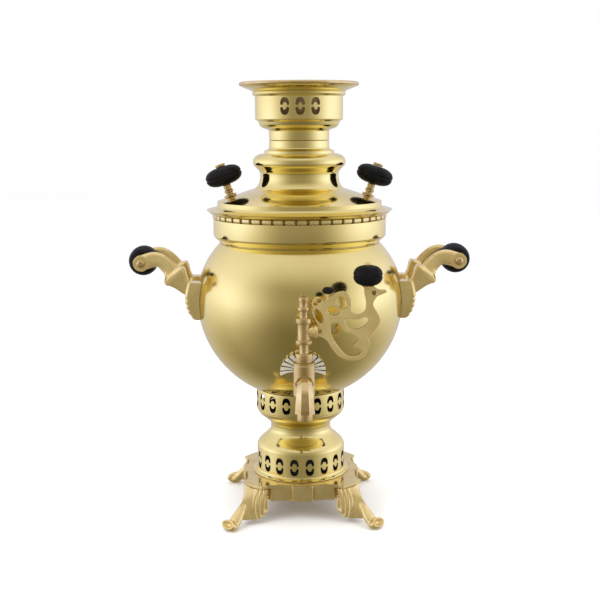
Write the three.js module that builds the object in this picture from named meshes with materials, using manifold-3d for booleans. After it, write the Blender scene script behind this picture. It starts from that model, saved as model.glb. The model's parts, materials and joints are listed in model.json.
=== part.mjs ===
// Samovar: a charcoal water heater of spun and cast brass, with a tap, a lid and a teapot crown.
// Millimetres, +Z up, with the tap towards -Y and the side handles towards +X and -X. The origin
// is on the ground, under the middle between the spout's front and the belly's rear.
import * as THREE from 'three';
import { mergeVertices } from 'three/addons/utils/BufferGeometryUtils.js';
import Module from 'manifold-3d';

const wasm = await Module();
wasm.setup();

// Fineness of round forms
const bodySteps = 20;
const ventSides = 18; // a pierced band has a flat side for each vent
const trimSteps = 12;
const screwSteps = 8;

// Clearances and sheet
const seatGap = 0.3; // between two faces that touch
const runGap = 0.5; // round a piece that slides or turns
const cutOverrun = 4; // how far a cutting tool runs past what it cuts
const sheetWall = 1.4; // spun brass sheet
const perforationBridge = 2; // metal left between the two halves of a vent

// Cast base plate
const plateHalf = 65.6; // from the axis to the middle of a side
const plateCornerShare = 1.1738; // from the axis to a corner lobe, as a share of plateHalf
const plateDepth = 18; // top face to the edge of the skirt
const plateSlab = 4;
const skirtWall = 3;
const skirtChamferShare = 1.0061; // to where the skirt is cut back behind a leg, of plateHalf
const plateGroundClear = 26; // ground to the edge of the skirt

// Legs: two pleated wings that meet in a ridge on the diagonal, over an ankle and a toe
const toeOut = 41.5; // from the skirt's cut-back to the middle of a toe, along the diagonal
const wingEdgeOut = 7.2; // from the skirt's cut-back to the upright edges of the wings
const wingRidgeOut = 12.5; // to the ridge, under the plate
const wingKneeOut = 33; // to the ridge, at the ankle
const wingKneeBow = 4.5; // how far the ridge bows out half way down
const wingTopHalfWidth = 17.3;
const wingHemHalfWidth = 13.5;
const wingWall = 3.2;
const wingHemWall = 6.5; // measured along the diagonal, where the wings run steeply outwards
const pleatDepth = 2.1;
const ankleHalfWidth = 7;
const toeLength = 22;
const legScrewRadius = 2;
const legScrewHeadRadius = 4;
const legScrewHeadHeight = 2.6;
const legScrewDepth = 7; // how far the screw enters the leg

// Spun pedestal between the plate and the vent ring
const pedestalFlangeRadius = 54.7;
const pedestalFlangeHeight = 4.2;
const pedestalBandRadius = 50;
const pedestalBandHeight = 25;
const pedestalWaistRadius = 34.2;
const pedestalWaistHeight = 3.7;
const pedestalFlare = 21; // height of the curve from the band in to the waist
const pedestalBowlRise = 18.4; // height of the curve from the waist out to the top
const pedestalTopRadius = 49;
const pedestalLipRadius = 42; // inner edge of the rim that carries the vent ring

// Pierced vent ring under the belly
const ventRingRadius = 50;
const ventRingHeight = 24.6;
const ventRingLipRadius = 42;
const ventsPerRing = 18;
const ventWidth = 9.8;
const ventHeight = 19;
const ventDiscWidth = 5.5; // the tongue left standing inside a vent
const ventDiscHeight = 9;
const ventSteps = 3;
const ventSquareness = 2.6; // 2 is an ellipse, larger is squarer
const ventTurn = Math.PI / ventsPerRing - Math.PI / 2; // the pedestal's vents sit half a pitch round

// Fire tube and grate
const fireTubeFootRadius = 46.4;
const fireTubeTopRadius = 30.8;
const fireTubeCone = 95; // height over which the tube narrows
const fireTubeFlange = 50;
const fireTubeRise = 6; // how far the tube stands up inside the crown
const grateRadius = 44;
const grateThickness = 3;
const grateSlots = 5;
const grateSlotWidth = 6;
const grateRim = 5;

// Belly
const bellyRadius = 115.3;
const bellyUpperRise = 98; // half height of the ellipse above the widest line
const bellyLowerDrop = 114; // half height of the ellipse below it
const bellyFootRadius = 54;
const bellyNeckRadius = 88.9;
const bellyCurveSteps = 5;
const vesselNeckRadius = 86; // straight neck inside the band
const vesselNeckHeight = 25;

// Band, dentil ring and lid seat
const neckBandRadius = 95.8;
const neckBandHeight = 27;
const neckBandCove = 9; // height of the curved foot of the band
const dentilRadius = 98.8;
const dentilHeight = 5;
const dentilCount = 48;
const dentilDepth = 1.6;
const dentilBore = 88;

// Lid
const lidBrimRadius = 103;
const lidBrimHeight = 3.9; // seat to the brim's sharp edge
const lidBrimRise = 5.6; // edge of the brim up to the foot of the step
const lidStepRadius = 91;
const lidStepHeight = 3.5;
const lidFlankRise = 12.4;
const lidWaistOuter = 53.7; // where the flank turns up into the waist
const lidWaistRadius = 43.4;
const lidWaistRise = 14.6;
const lidWaistHeight = 3;
const lidBulgeRadius = 51.1;
const lidBulgeRise = 11.9;
const lidBulgeHeight = 1.6;
const lidBulgeFall = 15.5;
const lidNeckRadius = 33.1;
const lidNeckHeight = 7;
const lidSkirtRadius = 84;
const lidSkirtDepth = 14;
const lidLift = 112; // clears the fire tube

// Lid knobs
const lidKnobReach = 76; // from the axis to the foot of a stem
const lidKnobRadius = 20.4;
const lidKnobThickness = 20;
const lidKnobGroove = 0.8;
const lidStemHeight = 14; // lid to the underside of the knob
const lidStemRadius = 4.4;
const lidStemFlangeRadius = 7;
const lidStemFlangeHeight = 2.4;
const lidStemThreadRadius = 2.5;
const lidStemThreadLength = 8;
const lidKnobScrewRadius = 5.5;
const lidKnobScrewHeight = 3;

// Crown
const crownNeckHeight = 10;
const crownShoulderRise = 12.8;
const crownShoulderShares = [[0, 0], [0.39, 0.27], [0.65, 0.52], [0.8, 0.79], [1, 1]];
const crownWallRadius = 48.2;
const crownLipRadius = 49.4;
const crownWallHeight = 23;
const crownFlareRadius = 64.2;
const crownFlareHeight = 12.8;
const crownBeadRadius = 65.6;
const crownBeadHeight = 4;
const crownVentGroups = 3;
const crownVentsPerGroup = 3;
const crownVentPitch = (2 * Math.PI) / ventSides;
const crownVentWidth = 10.3;
const crownVentHeight = 18.5;
const crownLift = 30;

// Side handles
const bracketSpacing = 50; // middle of one horn to the middle of the other
const bracketEyeReach = 174; // from the axis to the rod
const eyeRiseShare = 0.7325; // rod above the belly's widest line, of the horn's reach
const eyeRadiusShare = 0.15;
const hornHalfThickness = 4.6;
const collarWidthShare = 0.228; // half width of the collar, of the horn's reach
const collarDepthShare = 0.153;
const bracketFootHeight = 42;
const bracketFootHalfWidth = 8.6;
const bracketFootDepth = 15; // how far the foot stands out from the belly's widest line
const footFluteDepth = 1;
const footFlutes = 4;
const studRadius = 2.4;
const studLength = 11; // inside the belly
const gripRadius = 16.2;
const gripEndRadius = 9.6;
const gripFullness = 2.4; // 2 is an ellipse, larger is fuller
const rodRadius = 2.8;
const rodHeadRadius = 4.8;
const rodHeadHeight = 3.2;
const turnedFootShare = 0.6; // narrow end of a turned cup or head, of its wide end

// Nuts
const nutRadiusShare = 1.85; // corner radius as a share of the thread radius
const nutHeightShare = 1.5; // height as a share of the thread radius

// Tap
const tapStandOff = 16.7; // belly's widest line to the tap's upright axis
const tapDrop = 64; // belly's widest line down to the tap's water way
const barrelRadius = 10.8;
const barrelAbove = 18.5; // water way to the top of the barrel
const barrelBelow = 16;
const shankRadius = 8;
const shankInside = 14; // threaded length inside the belly
const waterWayRadius = 3.8;
const spoutReach = 20.5; // barrel axis to the spout axis
const spoutDrop = 28.4; // water way to the spout's lower edge
const spoutMouthHalf = 10;
const spoutNotchHalfWidth = 4.1; // step in the front of the mouth
const spoutNotchHeight = 4;
const spoutNeckHalf = 7.8;
const nozzleRadius = 7.7;
const nozzleBore = 4.6;
const nozzleLength = 7.2;
const nozzleSpigotRadius = 5.8;
const nozzleSpigotLength = 6;
const fanRadius = 23;
const fanThickness = 2.6;
const fanFlutes = 13;
const fanFluteDepth = 1.1;
const fanHubShare = 1.6; // how much thicker the fan is round the shank
const fanSweep = THREE.MathUtils.degToRad(206);

// Tap key, from its cap up
const plugTopRadius = 8;
const plugFootRadius = 7;
const capTopRadius = 8.9;
const capFootRadius = 8.2;
const capHeight = 9.4;
const keyNeckRadius = 4.7;
const keyNeckHeight = 9.6;
const keyFlangeRadius = 8.4;
const keyFlangeHeight = 4.2;
const keyDrumRadius = 6.5;
const keyDrumHeight = 17;
const keyDishHeight = 5.4;
const keyStemRadius = 4.4;
const keyStemHeight = 7.4;
const keyRingRadius = 6.1;
const keyRingHeight = 3.6;
const keyUpperHeight = 5.6;
const keyFinialRadius = 5;
const keyFinialHeight = 4;
const keyTipHeight = 3;
const keyTenonRadius = 2.8;
const plugThreadRadius = 3;
const plugThreadLength = 7;
const washerRadius = 7.4;
const washerThickness = 1.5;
const lockRingShare = 1.6; // radius of the washer and nut on the shank, of the shank's
const lockWasherThickness = 3;
const lockNutThickness = 4.2;

// Bird-shaped lever on the key
const leverReach = 83.6; // key axis to the tip of the beak
const leverRise = 76.6; // lowest line of the lower loop to the crown of the head
const leverThickness = 4.5;
const leverBossRadius = 6.5;
const leverBossEnd = 13.9; // key axis to the outer end of the boss
const leverKnobPlace = 64.4; // key axis to the big knob
const leverKnobRadius = 14.8;
const leverKnobThickness = 20;
const leverCupRadius = 6.4;
const leverCupHeight = 3;
const leverScrewRadius = 4;
const leverScrewHeight = 2.6;
const thumbPlace = 24.4;
const thumbRadius = 5.8;
const thumbHeight = 6.5;
const thumbNeckRadius = 2;
const thumbNeckHeight = 3;

// Reaches that follow from others
const plateCornerReach = plateHalf * plateCornerShare;
const skirtChamferReach = plateHalf * skirtChamferShare;
const toeReach = skirtChamferReach + toeOut;
const wingEdgeReach = skirtChamferReach + wingEdgeOut;
const wingRidgeReach = skirtChamferReach + wingRidgeOut;
const wingKneeReach = skirtChamferReach + wingKneeOut;
const hornReach = bracketEyeReach - bellyRadius;
const bracketEyeRise = hornReach * eyeRiseShare;
const bracketEyeRadius = hornReach * eyeRadiusShare;
const collarHalfWidth = hornReach * collarWidthShare;
const collarHalfDepth = hornReach * collarDepthShare;

// Levels, worked up from the ground
const skirtEdgeZ = plateGroundClear;
const plateTopZ = skirtEdgeZ + plateDepth;
const pedestalFootZ = plateTopZ + seatGap;
const bandTopZ = pedestalFootZ + pedestalFlangeHeight + pedestalBandHeight;
const waistFootZ = bandTopZ + pedestalFlare;
const waistTopZ = waistFootZ + pedestalWaistHeight;
const pedestalTopZ = waistTopZ + pedestalBowlRise;
const ventRingFootZ = pedestalTopZ + seatGap;
const ventRingTopZ = ventRingFootZ + ventRingHeight;
const tubeFootZ = ventRingTopZ + seatGap;
const bellyFootZ = tubeFootZ + sheetWall + seatGap;
const bellyZ = bellyFootZ + bellyLowerDrop * Math.sqrt(1 - (bellyFootRadius / bellyRadius) ** 2);
const bellyNeckZ = bellyZ + bellyUpperRise * Math.sqrt(1 - (bellyNeckRadius / bellyRadius) ** 2);
const neckBandFootZ = bellyNeckZ + seatGap;
const neckBandTopZ = neckBandFootZ + neckBandHeight;
const dentilFootZ = neckBandTopZ + seatGap;
const dentilTopZ = dentilFootZ + dentilHeight;
const lidSeatZ = dentilTopZ + seatGap;
const lidBrimZ = lidSeatZ + lidBrimHeight;
const lidStepFootZ = lidBrimZ + lidBrimRise;
const lidStepTopZ = lidStepFootZ + lidStepHeight;
const lidWaistFootZ = lidStepTopZ + lidFlankRise;
const lidWaistTopZ = lidWaistFootZ + lidWaistRise + lidWaistHeight;
const lidBulgeZ = lidWaistTopZ + lidBulgeRise + lidBulgeHeight;
const lidNeckFootZ = lidBulgeZ + lidBulgeFall;
const lidTopZ = lidNeckFootZ + lidNeckHeight;
const crownFootZ = lidTopZ + seatGap;
const fireTubeTopZ = crownFootZ + fireTubeRise;
const crownWallZ = crownFootZ + crownNeckHeight + crownShoulderRise;
const crownFlareZ = crownWallZ + crownWallHeight;
const crownBeadZ = crownFlareZ + crownFlareHeight;
const waterWayZ = bellyZ - tapDrop;
const tapY = -(bellyRadius + tapStandOff);
const barrelTopZ = waterWayZ + barrelAbove;
const barrelFootZ = waterWayZ - barrelBelow;
const capZ = barrelTopZ + seatGap;
const drumZ = capZ + capHeight + keyNeckHeight + keyFlangeHeight;
const leverZ = drumZ + keyDrumHeight / 2;
const bracketEyeZ = bellyZ + bracketEyeRise;

// Materials
function brass(color, roughness) {
  return new THREE.MeshStandardMaterial({ color, roughness, metalness: 1 });
}
const polishedBrass = brass(0xd9c27a, 0.16);
const castBrass = brass(0xc3a15a, 0.32);
const paleBrass = brass(0xcfc6a0, 0.3);
const blackPlastic = new THREE.MeshStandardMaterial({ color: 0x17161a, roughness: 0.5, metalness: 0 });
const darkIron = new THREE.MeshStandardMaterial({ color: 0x4a4744, roughness: 0.7, metalness: 0.8 });

// Mesh tools: every geometry below ends as one closed body with its faces pointing out
function merged(geometry) {
  const bare = geometry.clone();
  bare.deleteAttribute('normal');
  bare.deleteAttribute('uv');
  const joined = mergeVertices(bare, 1e-4);
  const index = joined.index.array;
  const kept = [];
  for (let i = 0; i < index.length; i += 3) {
    const [a, b, c] = [index[i], index[i + 1], index[i + 2]];
    if (a !== b && b !== c && c !== a) kept.push(a, b, c);
  }
  joined.setIndex(kept);
  return outward(joined);
}

function outward(geometry) {
  const place = geometry.attributes.position;
  const index = geometry.index.array;
  const corner = [new THREE.Vector3(), new THREE.Vector3(), new THREE.Vector3()];
  let volume = 0;
  for (let i = 0; i < index.length; i += 3) {
    corner.forEach((point, k) => point.fromBufferAttribute(place, index[i + k]));
    volume += corner[0].dot(corner[1].clone().cross(corner[2]));
  }
  if (volume < 0) {
    for (let i = 0; i < index.length; i += 3) {
      [index[i + 1], index[i + 2]] = [index[i + 2], index[i + 1]];
    }
  }
  return geometry;
}

function solid(geometry) {
  const clean = merged(geometry);
  return new wasm.Manifold(new wasm.Mesh({
    numProp: 3,
    vertProperties: new Float32Array(clean.attributes.position.array),
    triVerts: new Uint32Array(clean.index.array),
  }));
}

function geometryOf(body) {
  const mesh = body.asOriginal().getMesh();
  const geometry = new THREE.BufferGeometry();
  geometry.setAttribute('position', new THREE.Float32BufferAttribute(mesh.vertProperties, 3));
  geometry.setIndex(Array.from(mesh.triVerts));
  return geometry;
}

function joined(...pieces) {
  return geometryOf(pieces.map(solid).reduce((whole, piece) => whole.add(piece)));
}

function cut(geometry, ...tools) {
  return geometryOf(tools.map(solid).reduce((left, tool) => left.subtract(tool), solid(geometry)));
}

function moved(geometry, x, y, z) {
  return geometry.clone().translate(x, y, z);
}

// Revolves: a profile is a list of [radius, height] that closes on itself. One corner of the round
// points to -Y, or lies the turn past it.
function revolved(profile, steps, turn = 0) {
  const points = [...profile, profile[0]].map(([radius, height]) => new THREE.Vector2(radius, height));
  return merged(new THREE.LatheGeometry(points, steps).rotateX(Math.PI / 2).rotateZ(turn));
}

function rod(radius, length, steps) {
  const cylinder = new THREE.CylinderGeometry(radius, radius, length, steps);
  return merged(cylinder.rotateX(Math.PI / 2).translate(0, 0, length / 2));
}

function cone(footRadius, topRadius, length, steps) {
  const cylinder = new THREE.CylinderGeometry(topRadius, footRadius, length, steps);
  return merged(cylinder.rotateX(Math.PI / 2).translate(0, 0, length / 2));
}

function box(low, high) {
  const size = high.map((value, i) => value - low[i]);
  const middle = high.map((value, i) => (value + low[i]) / 2);
  return merged(new THREE.BoxGeometry(...size).translate(...middle));
}

// An S curve from one radius to another, without its first point
function ogee(fromRadius, fromZ, toRadius, toZ, steps) {
  return Array.from({ length: steps }, (_, i) => {
    const share = (i + 1) / steps;
    const blend = (1 - Math.cos(Math.PI * share)) / 2;
    return [fromRadius + (toRadius - fromRadius) * blend, fromZ + (toZ - fromZ) * share];
  });
}

// A quarter ellipse that leaves its first point level and arrives upright, without its first point
function cove(fromRadius, fromZ, toRadius, toZ, steps) {
  return Array.from({ length: steps }, (_, i) => {
    const angle = (Math.PI / 2) * ((i + 1) / steps);
    return [
      fromRadius + (toRadius - fromRadius) * Math.sin(angle),
      fromZ + (toZ - fromZ) * (1 - Math.cos(angle)),
    ];
  });
}

// The inner line of a sheet, followed back from the last point of its outer line to the first
function innerLine(outer, wall) {
  return outer.map((point, i) => {
    const before = outer[Math.max(i - 1, 0)];
    const after = outer[Math.min(i + 1, outer.length - 1)];
    const along = new THREE.Vector2(after[0] - before[0], after[1] - before[1]).normalize();
    return [point[0] - along.y * wall, point[1] + along.x * wall];
  }).reverse();
}

// Surfaces from rows of points
function surface(rows, closedRound) {
  const points = rows.flat();
  const across = rows[0].length;
  const triangles = [];
  const last = closedRound ? across : across - 1;
  for (let i = 0; i < rows.length - 1; i += 1) {
    for (let j = 0; j < last; j += 1) {
      const a = i * across + j;
      const b = i * across + ((j + 1) % across);
      triangles.push(a, b, a + across, b, b + across, a + across);
    }
  }
  return { points, triangles };
}

function meshOf(points, triangles) {
  const geometry = new THREE.BufferGeometry();
  const places = points.flatMap((point) => point.toArray());
  geometry.setAttribute('position', new THREE.Float32BufferAttribute(places, 3));
  geometry.setIndex(triangles);
  return merged(geometry);
}

// A closed body through sections that each go round, with a flat fan at both ends
function loft(sections) {
  const { points, triangles } = surface(sections, true);
  const across = sections[0].length;
  const ends = [sections[0], sections[sections.length - 1]];
  ends.forEach((section, end) => {
    const middle = section.reduce((sum, point) => sum.add(point), new THREE.Vector3());
    const hub = points.push(middle.divideScalar(across)) - 1;
    const first = end === 0 ? 0 : points.length - 1 - across - end;
    for (let j = 0; j < across; j += 1) {
      const a = first + j;
      const b = first + ((j + 1) % across);
      triangles.push(...(end === 0 ? [b, a, hub] : [a, b, hub]));
    }
  });
  return meshOf(points, triangles);
}

// A closed plate between a front grid and a back grid of the same counts
function plateBetween(front, back) {
  const ring = (grid) => [
    ...grid[0],
    ...grid.slice(1).map((row) => row[row.length - 1]),
    ...grid[grid.length - 1].slice(0, -1).reverse(),
    ...grid.slice(1, -1).map((row) => row[0]).reverse(),
  ];
  const sheets = [surface(front, false), surface(back.map((row) => [...row].reverse()), false)];
  const edge = surface([ring(front), ring(back)], true);
  const points = [];
  const triangles = [];
  [...sheets, { points: edge.points, triangles: edge.triangles.toReversed() }].forEach((sheet) => {
    const start = points.length;
    points.push(...sheet.points);
    triangles.push(...sheet.triangles.map((corner) => corner + start));
  });
  return meshOf(points, triangles);
}

// A section with rounded or square corners: squareness 2 is an ellipse, larger is squarer
function sectionRound(middle, across, up, halfAcross, halfUp, squareness, steps) {
  return Array.from({ length: steps }, (_, i) => {
    const angle = (2 * Math.PI * i) / steps + Math.PI / steps;
    const reach = (value) => Math.sign(value) * Math.abs(value) ** (2 / squareness);
    return middle.clone()
      .addScaledVector(across, halfAcross * reach(Math.cos(angle)))
      .addScaledVector(up, halfUp * reach(Math.sin(angle)));
  });
}

// The object
const samovar = new THREE.Group();

function add(name, geometry, material, parent = samovar) {
  const mesh = new THREE.Mesh(geometry, material);
  mesh.name = name;
  parent.add(mesh);
  return mesh;
}

function nut(threadRadius) {
  const height = threadRadius * nutHeightShare;
  return cut(
    rod(threadRadius * nutRadiusShare, height, 6),
    moved(rod(threadRadius + seatGap, height + 2 * cutOverrun, screwSteps), 0, 0, -cutOverrun),
  );
}

// Vents: each is an oval cut as two crescents that leave a tongue in the middle
function crescent(width, height, upper) {
  const side = upper ? 1 : -1;
  const reach = (value) => Math.sign(value) * Math.abs(value) ** (2 / ventSquareness);
  const arc = (halfWidth, halfHeight, from, to, steps) => Array.from({ length: steps + 1 }, (_, i) => {
    const angle = from + ((to - from) * i) / steps;
    return new THREE.Vector2(halfWidth * reach(Math.cos(angle)), halfHeight * reach(Math.sin(angle)));
  });
  const outerStart = Math.asin(perforationBridge / height);
  const innerStart = Math.asin(perforationBridge / ventDiscHeight);
  const outline = [
    ...arc(width / 2, height / 2, outerStart, Math.PI - outerStart, ventSteps),
    ...arc(ventDiscWidth / 2, ventDiscHeight / 2, Math.PI - innerStart, innerStart, ventSteps - 1),
  ].map((point) => new THREE.Vector2(point.x, point.y * side));
  return new THREE.Shape(outline);
}

function withVents(geometry, radius, middleZ, angles, width, height) {
  const depth = 2 * cutOverrun;
  const tools = angles.flatMap((angle) => [true, false].map((upper) => (
    new THREE.ExtrudeGeometry(crescent(width, height, upper), { depth, bevelEnabled: false })
      .translate(0, 0, radius - cutOverrun)
      .rotateX(Math.PI / 2)
      .rotateZ(angle + Math.PI / 2)
      .translate(0, 0, middleZ)
  )));
  return cut(geometry, ...tools);
}

function ringAngles(count, turn) {
  return Array.from({ length: count }, (_, i) => turn + (2 * Math.PI * i) / count);
}

// Base plate: a square of four bowed sides with a raised middle panel and lobed corners
const plateShares = [[0, 1], [0.175, 0.99], [0.215, 0.945], [0.41, 0.925], [0.6, 0.94]];
const lobeTurnShare = 0.13; // how far along the quarter turn the lobe's shoulder lies

const skirtWingShare = 0.54; // how far along a half side the skirt turns in behind a leg

// Mirrors half a side about its corner and repeats the side four times
function fourSided(halfSide, corner = []) {
  const mirrored = halfSide.map(([x, y]) => [y, x]).reverse().slice(0, -1);
  const side = [...halfSide, ...corner, ...mirrored];
  const outline = [0, 1, 2, 3].flatMap((turn) => (
    side.map(([x, y]) => new THREE.Vector2(x, y).rotateAround(new THREE.Vector2(), (-Math.PI / 2) * turn))
  ));
  return new THREE.Shape(outline);
}

function plateOutline() {
  const halfSide = plateShares.map(([along, out]) => [along * plateHalf, out * plateHalf]);
  const shoulder = Math.PI / 4 + (Math.PI / 2) * lobeTurnShare;
  halfSide.push([plateCornerReach * Math.cos(shoulder), plateCornerReach * Math.sin(shoulder)]);
  const corner = plateCornerReach * Math.SQRT1_2;
  return fourSided(halfSide, [[corner, corner]]);
}

// The skirt follows the plate's sides and is cut straight across behind each leg
function skirtOutline(inset) {
  const half = plateHalf - inset;
  const halfSide = plateShares
    .filter(([along]) => along < skirtWingShare)
    .map(([along, out]) => [along * half, out * half]);
  const wing = skirtWingShare * half;
  const chamfer = (skirtChamferReach - inset) * Math.SQRT2;
  halfSide.push([wing, halfSide[halfSide.length - 1][1]]);
  halfSide.push([wing, chamfer - wing]);
  return fourSided(halfSide);
}

function prism(outline, footZ, topZ) {
  const depth = topZ - footZ;
  return merged(new THREE.ExtrudeGeometry(outline, { depth, bevelEnabled: false }).translate(0, 0, footZ));
}

const slabFootZ = plateTopZ - plateSlab;
const legScrewZ = (skirtEdgeZ + slabFootZ) / 2;

function onDiagonal(geometry, index) {
  return geometry.clone().rotateZ(Math.PI / 4 + (Math.PI / 2) * index);
}

function basePlate() {
  const plate = joined(
    prism(plateOutline(), slabFootZ, plateTopZ),
    prism(skirtOutline(0), skirtEdgeZ, plateTopZ - plateSlab / 2),
  );
  const hollow = prism(skirtOutline(skirtWall), skirtEdgeZ - cutOverrun, slabFootZ);
  const hole = rod(legScrewRadius + seatGap, skirtWall + 2 * cutOverrun, screwSteps)
    .rotateY(Math.PI / 2)
    .translate(skirtChamferReach - skirtWall - cutOverrun, 0, legScrewZ);
  return cut(plate, hollow, ...[0, 1, 2, 3].map((index) => onDiagonal(hole, index)));
}

// A leg points along +X here. Its wings are columns of points from an edge (1) to the ridge (0).
const wingColumnShares = [
  { across: 1, pleat: 0, hem: 0.65 },
  { across: 0.9, pleat: 1, hem: 0.42 },
  { across: 0.8, pleat: 0, hem: 0.31 },
  { across: 0.7, pleat: 1, hem: 0.26 },
  { across: 0.6, pleat: 0, hem: 0.24 },
  { across: 0.3, pleat: 0, hem: 0.26 },
  { across: 0, pleat: 0, hem: 0.3 },
];
const wingRows = 3;

function legWings() {
  const topZ = slabFootZ - seatGap;
  const half = wingColumnShares.map((column) => ({ ...column, side: 1 }));
  const mirrored = half.slice(0, -1).reverse().map((column) => ({ ...column, side: -1 }));
  const columns = [...half, ...mirrored];
  const point = (column, down, inset) => {
    const ridge = 1 - column.across;
    const topReach = wingEdgeReach + (wingRidgeReach - wingEdgeReach) * ridge;
    const hemReach = wingEdgeReach + (wingKneeReach - wingEdgeReach) * ridge;
    const bow = wingKneeBow * ridge * Math.sin(Math.PI * down);
    const pleat = pleatDepth * column.pleat * (0.5 + down / 2);
    const halfWidth = wingTopHalfWidth + (wingHemHalfWidth - wingTopHalfWidth) * down;
    const hemZ = column.hem * plateGroundClear;
    const wall = wingWall + (wingHemWall - wingWall) * down;
    return new THREE.Vector3(
      topReach + (hemReach - topReach) * down + bow + pleat / 2 - inset * wall,
      column.side * (column.across * halfWidth + pleat),
      topZ + (hemZ - topZ) * down,
    );
  };
  const grid = (inset) => Array.from({ length: wingRows + 1 }, (_, row) => (
    columns.map((column) => point(column, row / wingRows, inset))
  ));
  return plateBetween(grid(0), grid(1));
}

// Reach, height, half width and half thickness, as shares of the toe's reach, the plate's height,
// the ankle's half width and the toe's length
const ankleShares = [
  [0.85, 0.78, 1.35, 0.2],
  [0.9, 0.58, 1.3, 0.27],
  [0.95, 0.38, 1.15, 0.29],
  [0.99, 0.24, 1.1, 0.26],
  [1.03, 0.18, 1.3, 0.27],
  [1.065, 0.25, 1.4, 0.26],
  [1.083, 0.31, 1.1, 0.16],
];
const ankleSquareness = 2.4;

function legAnkle() {
  const middles = ankleShares.map(([reach, height]) => (
    new THREE.Vector3(reach * toeReach, 0, height * plateGroundClear)
  ));
  const sections = ankleShares.map(([, , width, thickness], i) => {
    const before = middles[Math.max(i - 1, 0)];
    const after = middles[Math.min(i + 1, middles.length - 1)];
    const along = after.clone().sub(before).normalize();
    const across = new THREE.Vector3(0, 1, 0);
    const up = across.clone().cross(along);
    const [halfWidth, halfUp] = [width * ankleHalfWidth, thickness * toeLength];
    return sectionRound(middles[i], across, up, halfWidth, halfUp, ankleSquareness, screwSteps);
  });
  return loft(sections);
}

function leg() {
  const root = box(
    [skirtChamferReach - plateSlab, -ankleHalfWidth, skirtEdgeZ],
    [wingRidgeReach - wingWall / 2, ankleHalfWidth, slabFootZ - seatGap],
  );
  const body = joined(legWings(), legAnkle(), root);
  const skirt = prism(skirtOutline(-seatGap), skirtEdgeZ - seatGap, plateTopZ).rotateZ(Math.PI / 4);
  const top = box([0, -plateHalf, slabFootZ - seatGap], [2 * plateHalf, plateHalf, plateTopZ + cutOverrun]);
  const ground = box([0, -plateHalf, -plateDepth], [2 * toeReach, plateHalf, 0]);
  const screwHole = rod(legScrewRadius + seatGap, legScrewDepth + seatGap + cutOverrun, screwSteps)
    .rotateY(Math.PI / 2)
    .translate(skirtChamferReach - cutOverrun, 0, legScrewZ);
  return cut(body, skirt, top, ground, screwHole);
}

function legScrew() {
  const headOut = skirtChamferReach - skirtWall - seatGap;
  const head = rod(legScrewHeadRadius, legScrewHeadHeight, screwSteps);
  const shank = rod(legScrewRadius, legScrewHeadHeight + seatGap + skirtWall + legScrewDepth, screwSteps);
  return joined(head, shank).rotateY(Math.PI / 2).translate(headOut - legScrewHeadHeight, 0, legScrewZ);
}

add('base_plate', basePlate(), castBrass);
['rear_right', 'rear_left', 'front_left', 'front_right'].forEach((place, index) => {
  const legGroup = new THREE.Group();
  legGroup.rotation.z = Math.PI / 4 + (Math.PI / 2) * index;
  samovar.add(legGroup);
  add(`leg_${place}`, leg(), castBrass, legGroup);
  add(`leg_screw_${place}`, legScrew(), darkIron, legGroup);
});

// Pedestal: spun in one piece, with a pierced band
function pedestal() {
  const flangeTopZ = pedestalFootZ + pedestalFlangeHeight;
  const line = [
    [pedestalBandRadius, flangeTopZ],
    [pedestalBandRadius, bandTopZ],
    ...ogee(pedestalBandRadius, bandTopZ, pedestalWaistRadius, waistFootZ, 3),
    [pedestalWaistRadius, waistTopZ],
    ...ogee(pedestalWaistRadius, waistTopZ, pedestalTopRadius, pedestalTopZ, 3),
  ];
  const lip = [
    [pedestalLipRadius, pedestalTopZ],
    [pedestalLipRadius, pedestalTopZ - sheetWall],
    [pedestalTopRadius - 2 * sheetWall, pedestalTopZ - sheetWall],
  ];
  const flange = [
    [pedestalBandRadius - sheetWall, pedestalFootZ],
    [pedestalFlangeRadius, pedestalFootZ],
    [pedestalFlangeRadius, flangeTopZ - sheetWall],
  ];
  const inside = innerLine(line, sheetWall).slice(1, -1);
  const shell = revolved([...line, ...lip, ...inside, ...flange], ventSides);
  const middleZ = (flangeTopZ + bandTopZ) / 2 - sheetWall;
  const angles = ringAngles(ventsPerRing, ventTurn);
  return withVents(shell, pedestalBandRadius, middleZ, angles, ventWidth, ventHeight);
}

// Vent ring: a straight pierced band with a lip turned in at both ends
function ventRing() {
  const ring = revolved([
    [ventRingRadius, ventRingFootZ],
    [ventRingRadius, ventRingTopZ],
    [ventRingLipRadius, ventRingTopZ],
    [ventRingLipRadius, ventRingTopZ - sheetWall],
    [ventRingRadius - sheetWall, ventRingTopZ - sheetWall],
    [ventRingRadius - sheetWall, ventRingFootZ + sheetWall],
    [ventRingLipRadius, ventRingFootZ + sheetWall],
    [ventRingLipRadius, ventRingFootZ],
  ], ventSides, Math.PI / ventSides);
  const middleZ = (ventRingFootZ + ventRingTopZ) / 2;
  const angles = ringAngles(ventsPerRing, -Math.PI / 2);
  return withVents(ring, ventRingRadius, middleZ, angles, ventWidth, ventHeight);
}

// Fire tube: stands on the vent ring, narrows inside the belly and ends inside the crown
function fireTube() {
  const coneFootZ = bellyFootZ + sheetWall;
  const coneTopZ = coneFootZ + fireTubeCone;
  return revolved([
    [fireTubeFlange, tubeFootZ],
    [fireTubeFlange, tubeFootZ + sheetWall],
    [fireTubeFootRadius, tubeFootZ + sheetWall],
    [fireTubeFootRadius, coneFootZ],
    [fireTubeTopRadius, coneTopZ],
    [fireTubeTopRadius, fireTubeTopZ],
    [fireTubeTopRadius - sheetWall, fireTubeTopZ],
    [fireTubeTopRadius - sheetWall, coneTopZ],
    [fireTubeFootRadius - sheetWall, coneFootZ],
    [fireTubeFootRadius - sheetWall, tubeFootZ],
  ], bodySteps);
}

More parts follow.
